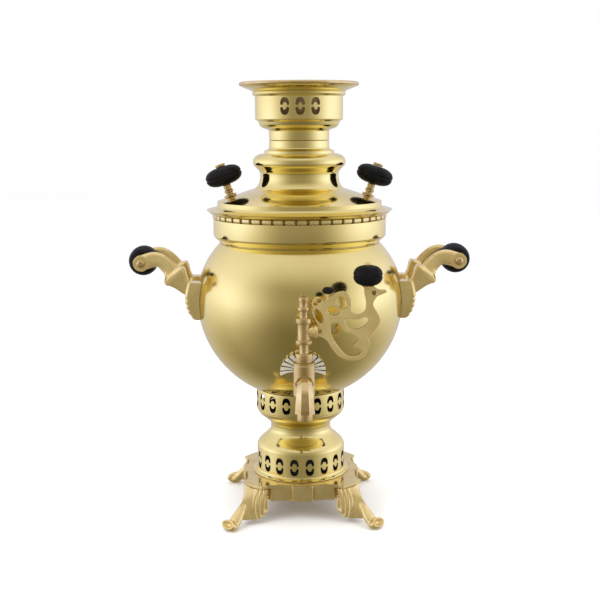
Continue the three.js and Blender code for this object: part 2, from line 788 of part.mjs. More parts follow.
// Grate: a round plate with long slots, resting on the vent ring's upper lip inside the tube
function grate() {
  const plate = moved(rod(grateRadius, grateThickness, trimSteps), 0, 0, tubeFootZ);
  const pitch = (2 * (grateRadius - grateRim)) / grateSlots;
  const slots = Array.from({ length: grateSlots }, (_, i) => {
    const y = (i - (grateSlots - 1) / 2) * pitch;
    const halfLength = Math.sqrt((grateRadius - grateRim) ** 2 - y ** 2) - grateRim;
    return box(
      [-halfLength, y - grateSlotWidth / 2, tubeFootZ - cutOverrun],
      [halfLength, y + grateSlotWidth / 2, tubeFootZ + grateThickness + cutOverrun],
    );
  });
  return cut(plate, ...slots);
}

// Belly: two half ellipses that meet at the widest line
function bellyRadiusAt(z) {
  const half = z > bellyZ ? bellyUpperRise : bellyLowerDrop;
  return bellyRadius * Math.sqrt(Math.max(0, 1 - ((z - bellyZ) / half) ** 2));
}

function bellyLine(inset, steps) {
  const footAngle = Math.acos(bellyFootRadius / bellyRadius);
  const neckAngle = Math.acos(bellyNeckRadius / bellyRadius);
  const point = (angle, half) => [
    (bellyRadius - inset) * Math.cos(angle),
    bellyZ + (half - inset) * Math.sin(angle),
  ];
  const lower = Array.from({ length: steps }, (_, i) => point(-footAngle * (1 - i / steps), bellyLowerDrop));
  const upper = Array.from({ length: steps }, (_, i) => point((neckAngle * i) / (steps - 1), bellyUpperRise));
  return [...lower, ...upper];
}

function bellyVessel() {
  const neckTopZ = neckBandFootZ + vesselNeckHeight;
  const outer = bellyLine(0, bellyCurveSteps);
  const inner = bellyLine(sheetWall, bellyCurveSteps - 1).slice(1, -1).reverse();
  const shell = revolved([
    [fireTubeFootRadius + seatGap, bellyFootZ],
    ...outer,
    [vesselNeckRadius, bellyNeckZ],
    [vesselNeckRadius, neckTopZ],
    [vesselNeckRadius - sheetWall, neckTopZ],
    [vesselNeckRadius - sheetWall, bellyNeckZ - sheetWall],
    ...inner,
    [bellyFootRadius - sheetWall, bellyFootZ + sheetWall],
    [fireTubeFootRadius + seatGap, bellyFootZ + sheetWall],
  ], bodySteps);
  const studHoles = bracketPlaces().map(({ side, end }) => (
    studAxis(side, end, rod(studRadius + seatGap, 2 * bracketFootDepth, screwSteps))
  ));
  const shankHole = rod(shankRadius - sheetWall + seatGap, bellyRadius, trimSteps)
    .rotateX(Math.PI / 2)
    .translate(0, 0, waterWayZ);
  return cut(shell, ...studHoles, shankHole);
}

// Neck band: covers the joint between the belly and the lid's seat
function neckBand() {
  const line = [
    [bellyNeckRadius, neckBandFootZ],
    ...ogee(bellyNeckRadius, neckBandFootZ, neckBandRadius, neckBandFootZ + neckBandCove, 3),
    [neckBandRadius, neckBandTopZ],
  ];
  const seat = [
    [dentilBore, neckBandTopZ],
    [dentilBore, neckBandTopZ - sheetWall],
    [neckBandRadius - sheetWall, neckBandTopZ - sheetWall],
  ];
  return revolved([...line, ...seat, ...innerLine(line, sheetWall).slice(1)], bodySteps);
}

// Dentil ring: a cast ring of square teeth under the lid's brim
function dentilRing() {
  const pitch = (2 * Math.PI) / dentilCount;
  const toothShare = 0.72;
  const tooth = [[0, dentilDepth], [0, 0], [toothShare, 0], [toothShare, dentilDepth]];
  const outline = new THREE.Shape(Array.from({ length: dentilCount }, (_, i) => (
    tooth.map(([along, inset]) => {
      const angle = (i + along) * pitch;
      const radius = dentilRadius - inset;
      return new THREE.Vector2(radius * Math.cos(angle), radius * Math.sin(angle));
    })
  )).flat());
  const bore = new THREE.Path();
  bore.absarc(0, 0, dentilBore, 0, 2 * Math.PI, true);
  outline.holes.push(bore);
  const shape = new THREE.ExtrudeGeometry(outline, {
    depth: dentilHeight,
    bevelEnabled: false,
    curveSegments: bodySteps / 2,
  });
  return merged(shape.translate(0, 0, dentilFootZ));
}

add('pedestal', pedestal(), polishedBrass);
add('upper_vent_ring', ventRing(), polishedBrass);
add('fire_tube', fireTube(), castBrass);
add('grate', grate(), darkIron);
add('neck_band', neckBand(), polishedBrass);
add('dentil_ring', dentilRing(), polishedBrass);

// Lid: spun in one piece, with an inner skirt that centres it in the vessel's neck
const lidFlankSlope = Math.atan2(lidFlankRise, lidStepRadius - lidWaistOuter);
const lidKnobFootZ = lidStepTopZ + (lidStepRadius - lidKnobReach) * Math.tan(lidFlankSlope);

function lid() {
  const line = [
    [lidStepRadius, lidStepTopZ],
    [lidWaistOuter, lidWaistFootZ],
    ...cove(lidWaistOuter, lidWaistFootZ, lidWaistRadius, lidWaistFootZ + lidWaistRise, 3),
    [lidWaistRadius, lidWaistTopZ],
    ...ogee(lidWaistRadius, lidWaistTopZ, lidBulgeRadius, lidWaistTopZ + lidBulgeRise, 3),
    [lidBulgeRadius, lidBulgeZ],
    ...ogee(lidBulgeRadius, lidBulgeZ, lidNeckRadius, lidNeckFootZ, 3),
  ];
  const brim = [
    [dentilRadius, lidSeatZ],
    [lidBrimRadius, lidBrimZ],
    ...cove(lidBrimRadius, lidBrimZ, lidStepRadius, lidStepFootZ, 3),
  ];
  const bore = fireTubeTopRadius + runGap;
  const neck = [[lidNeckRadius, lidTopZ], [bore, lidTopZ], [bore, lidNeckFootZ - sheetWall]];
  const stepInside = lidStepRadius - sheetWall;
  const skirtInside = lidSkirtRadius - sheetWall;
  const skirt = [
    [stepInside, lidStepTopZ - sheetWall],
    [stepInside, lidSeatZ + sheetWall],
    [skirtInside, lidSeatZ + sheetWall],
    [skirtInside, lidSeatZ - lidSkirtDepth],
    [lidSkirtRadius, lidSeatZ - lidSkirtDepth],
    [lidSkirtRadius, lidSeatZ],
  ];
  const inside = innerLine(line, sheetWall).slice(1, -1);
  const studHole = rod(lidStemThreadRadius + seatGap, 4 * cutOverrun, screwSteps);
  studHole.translate(0, 0, -2 * cutOverrun);
  return cut(
    revolved([...brim, ...line, ...neck, ...inside, ...skirt], bodySteps),
    lidKnobAxis(studHole, 0),
    lidKnobAxis(studHole, Math.PI),
  );
}

// Anything that stands on the lid's flank is made upright and leaned with this
function lidKnobAxis(geometry, turn) {
  return geometry.clone()
    .rotateY(lidFlankSlope)
    .translate(lidKnobReach, 0, lidKnobFootZ)
    .rotateZ(turn);
}

// A turned knob, grooved round its middle. The shares are of its radius and its half thickness.
const knobShares = [[0.62, 1], [0.79, 0.76], [0.973, 0.31]];

function knobProfile(radius, thickness, bore, groove) {
  const half = thickness / 2;
  const lower = knobShares.map(([out, up]) => [radius * out, half - half * up]);
  const upper = knobShares.map(([out, up]) => [radius * out, half + half * up]).reverse();
  return [[bore, 0], ...lower, [radius - groove, half], ...upper, [bore, thickness]];
}

function lidStem() {
  const ring = lidStemRadius + lidStemFlangeHeight / 3;
  const belowKnob = lidStemHeight - seatGap;
  return revolved([
    [0, -lidStemThreadLength],
    [lidStemThreadRadius, -lidStemThreadLength],
    [lidStemThreadRadius, seatGap],
    [lidStemFlangeRadius, seatGap],
    [lidStemFlangeRadius, lidStemFlangeHeight],
    [lidStemRadius, lidStemFlangeHeight],
    [ring, lidStemHeight / 2],
    [lidStemRadius, belowKnob],
    [lidStemThreadRadius, belowKnob],
    [lidStemThreadRadius, lidStemHeight + lidKnobThickness - seatGap],
    [0, lidStemHeight + lidKnobThickness - seatGap],
  ], trimSteps);
}

const lidGroup = new THREE.Group();
samovar.add(lidGroup);
add('lid', lid(), polishedBrass, lidGroup);
[['right', 0], ['left', Math.PI]].forEach(([side, turn]) => {
  const knob = new THREE.Group();
  const lean = new THREE.Group();
  knob.rotation.z = turn;
  lean.position.set(lidKnobReach, 0, lidKnobFootZ);
  lean.rotation.y = lidFlankSlope;
  knob.add(lean);
  lidGroup.add(knob);
  add(`lid_knob_stem_${side}`, lidStem(), castBrass, lean);
  const profile = knobProfile(lidKnobRadius, lidKnobThickness, lidStemThreadRadius + seatGap, lidKnobGroove);
  add(`lid_knob_${side}`, revolved(profile, trimSteps), blackPlastic, lean).position.z = lidStemHeight;
  const screw = rod(lidKnobScrewRadius, lidKnobScrewHeight, screwSteps);
  const screwZ = lidStemHeight + lidKnobThickness + seatGap;
  add(`lid_knob_screw_${side}`, screw, castBrass, lean).position.z = screwZ;
  const below = lidStemThreadRadius * nutHeightShare + sheetWall / Math.cos(lidFlankSlope) + 2 * seatGap;
  add(`lid_knob_nut_${side}`, nut(lidStemThreadRadius), castBrass, lean).position.z = -below;
});

// Crown: a spun bowl with no floor that stands on the lid's neck and carries the teapot
function crown() {
  const shoulderZ = crownFootZ + crownNeckHeight;
  const shoulder = crownShoulderShares.map(([out, rise]) => [
    lidNeckRadius + out * (crownWallRadius - lidNeckRadius),
    shoulderZ + rise * crownShoulderRise,
  ]);
  const line = [
    ...shoulder,
    [crownLipRadius, crownFlareZ - sheetWall],
    [crownLipRadius + sheetWall, crownFlareZ],
    ...ogee(crownLipRadius + sheetWall, crownFlareZ, crownFlareRadius, crownBeadZ, 3),
  ];
  const bead = [
    [crownBeadRadius, crownBeadZ + crownBeadHeight / 3],
    [crownBeadRadius, crownBeadZ + crownBeadHeight],
    [crownBeadRadius - 2 * sheetWall, crownBeadZ + crownBeadHeight],
  ];
  const bore = (fireTubeTopRadius + runGap) / Math.cos(Math.PI / ventSides);
  const neck = [[bore, shoulderZ + sheetWall / 2], [bore, crownFootZ], [lidNeckRadius, crownFootZ]];
  const inside = innerLine(line, sheetWall).slice(0, -1);
  const shell = revolved([...line, ...bead, ...inside, ...neck], ventSides, Math.PI / ventSides);
  const angles = ringAngles(crownVentGroups, -Math.PI / 2).flatMap((middle) => (
    Array.from({ length: crownVentsPerGroup }, (_, i) => (
      middle + (i - (crownVentsPerGroup - 1) / 2) * crownVentPitch
    ))
  ));
  const middleZ = (crownWallZ + crownFlareZ) / 2 + perforationBridge;
  return withVents(shell, crownWallRadius, middleZ, angles, crownVentWidth, crownVentHeight);
}
add('crown', crown(), polishedBrass, lidGroup);

// Side handles: two cast horns on each side hold a turned grip on a rod
function bracketPlaces() {
  return [['right', 1], ['left', -1]].flatMap(([sideName, side]) => (
    [['front', -1], ['rear', 1]].map(([endName, end]) => ({ name: `${sideName}_${endName}`, side, end }))
  ));
}

const footTopShare = 0.52; // how much of the foot lies above the belly's widest line
const footTopZ = bellyZ + bracketFootHeight * footTopShare;
const footEdgeZ = footTopZ - bracketFootHeight;
const studZ = (footTopZ + footEdgeZ) / 2;

function studAxis(side, end, geometry) {
  const start = bellyRadius - studLength - sheetWall;
  return geometry.clone()
    .rotateY(Math.PI / 2)
    .translate(start, 0, studZ)
    .rotateZ(Math.asin((bracketSpacing / 2) / bellyRadius))
    .scale(side, end, 1);
}

// The horn lies in the X-Z plane on +X. Each row is one section: out from the belly (0) to the rod
// (1), up from the belly's widest line (0) to the rod (1), half width, half thickness, squareness.
// Widths and thicknesses are shares of the eye's and the horn's, or of the collar's.
const hornShares = [
  [1, 1, 0.966, 0.9, 2.2],
  [0.78, 1.09, 0.943, 1, 2.2],
  [0.64, 1.06, 0.875, 1, 2.2],
  [0.54, 0.95, 0.909, 1.05, 2.2],
  [0.475, 0.85, 0.943, 1.15, 2.6],
  [0.44, 0.77, 1.011, 1.3, 3.2],
];
const collarShares = [
  [0.395, 0.69, 1, 1, 5],
  [0.36, 0.65, 1, 1, 5],
  [0.27, 0.5, 0.68, 0.8, 5],
  [0.02, 0.25, 0.56, 0.66, 5],
];

function horn() {
  const sized = (shares, halfUp, halfFlat) => shares.map(([out, rise, width, thickness, squareness]) => ({
    middle: new THREE.Vector3(bellyRadius + out * hornReach, 0, bellyZ + rise * bracketEyeRise),
    halfUp: width * halfUp,
    halfFlat: thickness * halfFlat,
    squareness,
  }));
  const rows = [
    ...sized(hornShares, bracketEyeRadius, hornHalfThickness),
    ...sized(collarShares, collarHalfWidth, collarHalfDepth),
  ];
  const sections = rows.map(({ middle, halfUp, halfFlat, squareness }, i) => {
    const before = rows[Math.max(i - 1, 0)].middle;
    const after = rows[Math.min(i + 1, rows.length - 1)].middle;
    const along = after.clone().sub(before).normalize();
    const flat = new THREE.Vector3(0, 1, 0);
    return sectionRound(middle, along.clone().cross(flat), flat, halfUp, halfFlat, squareness, screwSteps);
  });
  const eye = rod(bracketEyeRadius, 2 * hornHalfThickness, trimSteps)
    .rotateX(Math.PI / 2)
    .translate(bracketEyeReach, hornHalfThickness, bracketEyeZ);
  return joined(loft(sections), eye);
}

// The foot hangs down the belly like a drop: it swells, then tapers with flutes across it
const footSwellShare = 0.4; // how far down the swelling ends
const footTopDepthShare = 0.72;
const footSwellDepthShare = 0.8;
const footTaperShare = 0.62; // how long the taper would be if it ran to a point
const footTipShare = 0.45; // how much of its width the tip loses
const footHugShare = 0.8; // how closely its outer face follows the belly
const footFaceShare = 0.55; // the flat of its outer face, of its width

function footDepthAt(down) {
  const past = (down - footSwellShare) / footTaperShare;
  if (past > 0) return bracketFootDepth * footSwellDepthShare * Math.sqrt(1 - past ** 2);
  const swelling = (footSwellDepthShare - footTopDepthShare) * (down / footSwellShare);
  return bracketFootDepth * (footTopDepthShare + swelling);
}

function bracketFoot() {
  const levels = 2 * footFlutes + 3;
  const sections = Array.from({ length: levels + 1 }, (_, i) => {
    const down = i / levels;
    const flute = down > footSwellShare && i % 2 === 1 ? footFluteDepth : 0;
    const halfWidth = bracketFootHalfWidth * (1 - footTipShare * down ** 2);
    const z = footTopZ - down * bracketFootHeight;
    const inner = bellyRadiusAt(z) - bracketFootDepth;
    const hug = (bellyRadius - bellyRadiusAt(z)) * footHugShare;
    const outer = bellyRadius - hug + footDepthAt(down) - flute;
    const face = halfWidth * footFaceShare;
    return [
      new THREE.Vector3(inner, -halfWidth, z),
      new THREE.Vector3(outer - halfWidth / 3, -halfWidth, z),
      new THREE.Vector3(outer, -face, z),
      new THREE.Vector3(outer, face, z),
      new THREE.Vector3(outer - halfWidth / 3, halfWidth, z),
      new THREE.Vector3(inner, halfWidth, z),
    ];
  });
  return loft(sections);
}

// The belly's outside grown by a seat's gap, to cut what lies against it
function bellyTool() {
  const line = bellyLine(-seatGap, bellyCurveSteps);
  const [low, high] = [line[0][1], line[line.length - 1][1]];
  return revolved([[0, low], ...line, [0, high]], bodySteps);
}

function bracket(side, end) {
  const y = (end * bracketSpacing) / 2;
  const casting = moved(joined(horn(), bracketFoot()), 0, y, 0).scale(side, 1, 1);
  const stud = studAxis(side, end, rod(studRadius, studLength + bracketFootDepth, screwSteps));
  const rodHole = moved(
    rod(rodRadius + seatGap, 2 * bracketSpacing, trimSteps).rotateX(Math.PI / 2),
    side * bracketEyeReach,
    bracketSpacing,
    bracketEyeZ,
  );
  return joined(cut(casting, bellyTool(), rodHole), stud);
}

function grip() {
  const half = bracketSpacing / 2 - hornHalfThickness - seatGap;
  const alongShares = [0, 0.4, 0.75, 1];
  const side = alongShares.map((share) => [
    gripEndRadius + (gripRadius - gripEndRadius) * Math.sqrt(1 - share ** gripFullness),
    share * half,
  ]);
  const bore = rodRadius + seatGap;
  return revolved([
    [bore, -half],
    ...side.slice(1).reverse().map(([radius, y]) => [radius, -y]),
    ...side,
    [bore, half],
  ], trimSteps);
}

function gripRod() {
  const outside = bracketSpacing / 2 + hornHalfThickness + seatGap;
  const nutHeight = rodRadius * nutHeightShare;
  const head = cone(rodHeadRadius * turnedFootShare, rodHeadRadius, rodHeadHeight, trimSteps);
  head.translate(0, 0, -rodHeadHeight);
  const shank = rod(rodRadius, 2 * outside + nutHeight, trimSteps).translate(0, 0, -seatGap);
  return joined(head, shank).translate(0, 0, -outside);
}

bracketPlaces().forEach(({ name, side, end }) => {
  add(`bracket_${name}`, bracket(side, end), castBrass);
  const wallRadius = bellyRadiusAt(studZ + 2 * studRadius) - sheetWall;
  const wallAt = wallRadius * Math.cos(Math.PI / bodySteps) - 2 * seatGap;
  const along = wallAt - studRadius * nutHeightShare - (bellyRadius - studLength - sheetWall);
  const nutOnStud = studAxis(side, end, nut(studRadius).translate(0, 0, along));
  add(`bracket_nut_${name}`, merged(nutOnStud), castBrass);
});
[['right', 1], ['left', -1]].forEach(([sideName, side]) => {
  const handle = new THREE.Group();
  handle.position.set(side * bracketEyeReach, 0, bracketEyeZ);
  handle.rotation.x = -Math.PI / 2;
  samovar.add(handle);
  add(`grip_${sideName}`, grip(), blackPlastic, handle);
  add(`grip_rod_${sideName}`, gripRod(), castBrass, handle);
  const nutPlace = bracketSpacing / 2 + hornHalfThickness + seatGap;
  add(`grip_nut_${sideName}`, nut(rodRadius), castBrass, handle).position.z = nutPlace;
});

// Tap escutcheon: a fluted fan that lies on the belly round the shank
function fan() {
  const columns = 2 * fanFlutes;
  const start = Math.PI / 2 - fanSweep / 2;
  const bore = shankRadius + seatGap;
  const onBelly = (x, z) => -Math.sqrt(bellyRadiusAt(waterWayZ + z) ** 2 - x ** 2);
  const rowShares = [0, 0.4, 1];
  const grid = (front) => rowShares.map((outShare) => Array.from({ length: columns + 1 }, (_, j) => {
    const angle = start + (fanSweep * j) / columns;
    const flute = j % 2 === 0 ? 0 : fanFluteDepth * outShare;
    const radius = bore + (fanRadius - bore) * outShare + flute;
    const [x, z] = [radius * Math.cos(angle), radius * Math.sin(angle)];
    const thickness = fanThickness * (fanHubShare + (1 - fanHubShare) * outShare);
    const dome = front ? thickness + flute : -fanThickness;
    return new THREE.Vector3(x, onBelly(x, z) - dome, z + waterWayZ);
  }));
  return plateBetween(grid(true), grid(false));
}

// Tap body: shank, upright barrel and an eight-sided spout that turns down
// Each row is one section: out to the spout's axis (1), down to its mouth (-1), turned from level
// (0) to upright (1), and its half width as a share of the neck's
const spoutSides = 8;
const spoutShares = [
  [0.1, -0.02, 0, 1],
  [0.62, -0.1, 0.32, 1],
  [0.93, -0.3, 0.7, 1.06],
  [1, -0.6, 1, 1.18],
  [1, -1, 1, spoutMouthHalf / spoutNeckHalf],
];

function spoutHood() {
  const sections = spoutShares.map(([out, fall, turn, width]) => {
    const tilt = (Math.PI / 2) * turn;
    const middle = new THREE.Vector3(0, tapY - out * spoutReach, waterWayZ + fall * spoutDrop);
    const across = new THREE.Vector3(1, 0, 0);
    const up = new THREE.Vector3(0, -Math.sin(tilt), Math.cos(tilt));
    const half = (width * spoutNeckHalf) / Math.cos(Math.PI / spoutSides);
    return sectionRound(middle, across, up, half, half, 2, spoutSides);
  });
  return loft(sections);
}

// Lays an upright form on the water way with its foot at startY and its top towards -Y
function alongY(geometry, startY) {
  return geometry.rotateX(Math.PI / 2).translate(0, startY, waterWayZ);
}

const plugHeight = barrelAbove + barrelBelow;
const shankBackY = -(bellyRadiusAt(waterWayZ) - sheetWall - shankInside);

function tapBody() {
  const barrel = moved(rod(barrelRadius, plugHeight, 2 * screwSteps), 0, tapY, barrelFootZ);
  const wallY = -bellyRadiusAt(waterWayZ + shankRadius) - seatGap;
  const shank = alongY(rod(shankRadius, wallY - tapY, trimSteps), wallY);
  const thread = alongY(rod(shankRadius - sheetWall, shankBackY - tapY, trimSteps), shankBackY);
  const plugBore = cone(plugFootRadius + runGap, plugTopRadius + runGap, plugHeight, trimSteps)
    .translate(0, tapY, barrelFootZ);
  const openEnds = [
    moved(rod(plugTopRadius + runGap, cutOverrun, trimSteps), 0, tapY, barrelTopZ - seatGap),
    moved(rod(plugFootRadius + runGap, cutOverrun + seatGap, trimSteps), 0, tapY, barrelFootZ - cutOverrun),
  ];
  const spoutY = tapY - spoutReach;
  const wayStartY = shankBackY + cutOverrun;
  const waterWay = alongY(rod(waterWayRadius, wayStartY - spoutY, screwSteps), wayStartY);
  waterWay.translate(0, 0, -waterWayRadius / 2);
  const fall = rod(waterWayRadius + seatGap, spoutDrop, screwSteps)
    .translate(0, spoutY, waterWayZ - spoutDrop);
  const socket = rod(nozzleSpigotRadius + seatGap, nozzleSpigotLength + seatGap + cutOverrun, trimSteps)
    .translate(0, spoutY, waterWayZ - spoutDrop - cutOverrun);
  const mouthZ = waterWayZ - spoutDrop;
  const notch = box(
    [-spoutNotchHalfWidth, spoutY - spoutMouthHalf - cutOverrun, mouthZ - cutOverrun],
    [spoutNotchHalfWidth, spoutY - nozzleRadius, mouthZ + spoutNotchHeight],
  );
  const body = joined(barrel, shank, thread, spoutHood());
  return cut(body, plugBore, ...openEnds, waterWay, fall, socket, notch);
}

function spoutNozzle() {
  const topZ = waterWayZ - spoutDrop - seatGap;
  return revolved([
    [nozzleRadius, topZ - nozzleLength],
    [nozzleRadius, topZ],
    [nozzleSpigotRadius, topZ],
    [nozzleSpigotRadius, topZ + nozzleSpigotLength],
    [nozzleBore, topZ + nozzleSpigotLength],
    [nozzleBore, topZ - nozzleLength],
  ], trimSteps);
}

function lockRing(radius, thickness, backY, sides) {
  const ring = cut(
    rod(radius, thickness, sides),
    moved(rod(shankRadius - sheetWall + seatGap, thickness + 2 * cutOverrun, trimSteps), 0, 0, -cutOverrun),
  );
  return alongY(ring, backY);
}

add('belly_vessel', bellyVessel(), polishedBrass);
add('tap_escutcheon', cut(fan(), bellyTool()), paleBrass);
add('tap_body', tapBody(), castBrass);
add('spout_nozzle', spoutNozzle(), castBrass).position.y = tapY - spoutReach;
const lockRadius = shankRadius * lockRingShare;
const lowerInnerY = -(bellyRadiusAt(waterWayZ - lockRadius) - 2 * sheetWall);
const lockWasherY = lowerInnerY + lockWasherThickness + seatGap;
const lockNutY = lockWasherY + lockNutThickness + seatGap;
add('tap_lock_washer', lockRing(lockRadius, lockWasherThickness, lockWasherY, trimSteps), castBrass);
add('tap_lock_nut', lockRing(lockRadius, lockNutThickness, lockNutY, 6), castBrass);

// Tap key: the plug turns in the barrel; its stem rises to a finial and carries the lever
const keyGroup = new THREE.Group();
keyGroup.position.set(0, tapY, 0);
samovar.add(keyGroup);

function tapKey() {
  const taper = (z) => plugFootRadius
    + ((plugTopRadius - plugFootRadius) * (z - barrelFootZ)) / (barrelTopZ - barrelFootZ);
  const stack = [
    [keyFlangeRadius, keyFlangeHeight],
    [keyDrumRadius, keyDrumHeight],
    [keyFlangeRadius, keyDishHeight],
    [keyStemRadius, keyStemHeight],
    [keyRingRadius, keyRingHeight],
    [keyStemRadius, keyUpperHeight],
    [keyFinialRadius, keyFinialHeight],
  ];
  let z = capZ + capHeight;
  const line = [
    [0, barrelFootZ - plugThreadLength],
    [plugThreadRadius, barrelFootZ - plugThreadLength],
    [plugThreadRadius, barrelFootZ],
    [taper(barrelFootZ), barrelFootZ],
    [taper(barrelTopZ), capZ],
    [capFootRadius, capZ],
    [capTopRadius, z],
    [keyNeckRadius, z],
    [keyNeckRadius, z + keyNeckHeight],
  ];
  z += keyNeckHeight;
  stack.forEach(([radius, height]) => {
    line.push([radius, z], [radius, z + height]);
    z += height;
  });
  line.push([0, z + keyTipHeight]);
  const port = rod(waterWayRadius, 2 * barrelRadius, screwSteps)
    .rotateY(Math.PI / 2)
    .translate(-barrelRadius, 0, waterWayZ - waterWayRadius / 2);
  const tenon = rod(keyTenonRadius, leverBossEnd - seatGap, screwSteps).rotateY(Math.PI / 2);
  return joined(cut(revolved(line, trimSteps), port), moved(tenon, 0, 0, leverZ));
}

// The lever is a flat openwork bird. All shares are of its reach and its rise, from the boss.
const birdRuns = [
  {
    smooth: true,
    shares: [
      [0.166, -0.06], [0.267, -0.112], [0.341, -0.242], [0.443, -0.352], [0.574, -0.394],
      [0.718, -0.36], [0.769, -0.253], [0.794, -0.163], [0.769, -0.094],
    ],
  },
  {
    smooth: true,
    shares: [
      [0.769, -0.094], [0.867, 0.027], [0.919, 0.133], [0.9, 0.219], [0.834, 0.349], [0.871, 0.444],
      [0.909, 0.473],
    ],
  },
  { smooth: false, shares: [[0.909, 0.473], [1, 0.516], [0.984, 0.542]] },
  { smooth: true, shares: [[0.984, 0.542], [0.927, 0.546], [0.873, 0.568], [0.843, 0.6]] },
  { smooth: false, shares: [[0.843, 0.6], [0.718, 0.6]] },
  {
    smooth: true,
    shares: [
      [0.718, 0.6], [0.728, 0.507], [0.75, 0.366], [0.73, 0.256], [0.644, 0.218], [0.574, 0.268],
      [0.561, 0.431], [0.508, 0.514], [0.449, 0.53], [0.341, 0.488], [0.266, 0.42], [0.236, 0.389],
    ],
  },
  {
    smooth: true,
    shares: [[0.236, 0.389], [0.222, 0.431], [0.17, 0.457], [0.112, 0.42], [0.094, 0.352], [0.111, 0.316]],
  },
  { smooth: true, shares: [[0.111, 0.316], [0.098, 0.266], [0.112, 0.201], [0.166, 0.085]] },
];
// Openings as ellipses: middle, half axes and lean, in shares of reach, rise and half a turn
const birdOvalShares = [
  { middle: [0.182, 0.407], half: [0.031, 0.026], lean: 0.1 },
  { middle: [0.14, 0.364], half: [0.027, 0.022], lean: 0 },
  { middle: [0.178, 0.205], half: [0.094, 0.045], lean: -0.36 },
  { middle: [0.364, 0.272], half: [0.074, 0.056], lean: 0 },
  { middle: [0.455, 0.376], half: [0.088, 0.058], lean: -0.31 },
  { middle: [0.841, 0.507], half: [0.027, 0.03], lean: 0 },
];
const birdOvalSteps = 5; // for each half of an oval
const birdHoleShares = [
  [
    [0.494, 0.129], [0.514, 0.168], [0.641, 0.157], [0.745, 0.185], [0.782, 0.136], [0.72, 0.056],
    [0.608, 0.022], [0.53, 0.06],
  ],
  [
    [0.408, 0.104], [0.487, -0.001], [0.59, -0.044], [0.657, -0.098], [0.644, -0.137], [0.6, -0.185],
    [0.61, -0.214], [0.679, -0.248], [0.679, -0.302], [0.593, -0.336], [0.506, -0.311], [0.41, -0.195],
    [0.331, -0.05], [0.322, 0.076], [0.348, 0.11],
  ],
];

function birdPoint([reachShare, riseShare]) {
  return new THREE.Vector2(reachShare * leverReach, riseShare * leverRise);
}

function birdOval({ middle, half, lean }) {
  const place = birdPoint(middle);
  const [halfLong, halfShort] = half.map((share) => share * leverReach);
  const oval = new THREE.Path();
  oval.absellipse(place.x, place.y, halfLong, halfShort, 0, 2 * Math.PI, true, lean * Math.PI);
  return new THREE.Path(oval.getPoints(birdOvalSteps));
}

function birdHole(shares) {
  const corners = shares.map((share) => {
    const { x, y } = birdPoint(share);
    return new THREE.Vector3(x, y, 0);
  });
  const curve = new THREE.CatmullRomCurve3(corners, true);
  return new THREE.Path(curve.getPoints(corners.length).map(({ x, y }) => new THREE.Vector2(x, y)));
}

function birdOutline() {
  const outline = new THREE.Shape();
  outline.moveTo(...birdPoint(birdRuns[0].shares[0]).toArray());
  birdRuns.forEach(({ smooth, shares }) => {
    const rest = shares.slice(1).map(birdPoint);
    if (smooth) outline.splineThru(rest);
    else rest.forEach((point) => outline.lineTo(point.x, point.y));
  });
  outline.closePath();
  outline.holes.push(...birdOvalShares.map(birdOval), ...birdHoleShares.map(birdHole));
  return outline;
}

function keyLever() {
  const sheet = { depth: leverThickness, bevelEnabled: false, curveSegments: 1 };
  const plate = new THREE.ExtrudeGeometry(birdOutline(), sheet)
    .translate(0, 0, -leverThickness / 2)
    .rotateX(Math.PI / 2)
    .translate(0, 0, leverZ);
  const boss = rod(leverBossRadius, leverBossEnd, trimSteps).rotateY(Math.PI / 2).translate(0, 0, leverZ);
  const cup = cone(leverCupRadius * turnedFootShare, leverCupRadius, leverCupHeight, trimSteps)
    .translate(leverKnobPlace, 0, leverHeadZ - leverCupHeight);
  const post = rod(lidStemThreadRadius, leverCupHeight + leverKnobThickness, screwSteps)
    .translate(leverKnobPlace, 0, leverHeadZ - leverCupHeight);
  const thumbNeck = rod(thumbNeckRadius, 2 * thumbNeckHeight + thumbHeight / 2, screwSteps)
    .translate(thumbPlace, 0, thumbZ - 2 * thumbNeckHeight);
  const round = drumClearance();
  const tenonHole = rod(keyTenonRadius + seatGap, leverBossEnd + cutOverrun, screwSteps)
    .rotateY(Math.PI / 2)
    .translate(0, 0, leverZ);
  return cut(joined(plate, boss, cup, post, thumbNeck), round, tenonHole);
}

const thumbShares = [[0.7, 0], [1, 0.3], [1, 0.65], [0.6, 1]]; // of its radius and height

// The small knob on the bird's back, blind on top
function thumbKnob() {
  const socket = thumbHeight / 2 + seatGap;
  const bore = thumbNeckRadius + seatGap;
  const side = thumbShares.map(([out, up]) => [thumbRadius * out, thumbHeight * up]);
  return revolved([[0, socket], [bore, socket], [bore, 0], ...side, [0, thumbHeight]], trimSteps);
}

// The space that the key's drum takes, from flange to flange
function drumClearance() {
  const reach = keyDrumHeight + keyFlangeHeight + keyDishHeight;
  return moved(rod(keyDrumRadius + seatGap, reach, 2 * trimSteps), 0, 0, leverZ - reach / 2);
}

const thumbRiseShare = 0.495; // the bird's back under the small knob, of the lever's rise
const headRiseShare = 0.6; // the top of its head
const thumbZ = leverZ + leverRise * thumbRiseShare;
const leverHeadZ = leverZ + leverRise * headRiseShare;
const leverKnobZ = leverHeadZ + seatGap;
add('tap_key', tapKey(), castBrass, keyGroup);
add('key_lever', keyLever(), castBrass, keyGroup);
const postBore = lidStemThreadRadius + seatGap;
const knobLine = knobProfile(leverKnobRadius, leverKnobThickness, postBore, lidKnobGroove);
const keyKnob = add('key_knob', revolved(knobLine, trimSteps), blackPlastic, keyGroup);
keyKnob.position.set(leverKnobPlace, 0, leverKnobZ);
const leverScrewZ = leverKnobZ + leverKnobThickness + seatGap;
const leverScrew = rod(leverScrewRadius, leverScrewHeight, screwSteps);
add('key_knob_screw', leverScrew, castBrass, keyGroup).position.set(leverKnobPlace, 0, leverScrewZ);
const thumbBottomZ = thumbZ + seatGap;
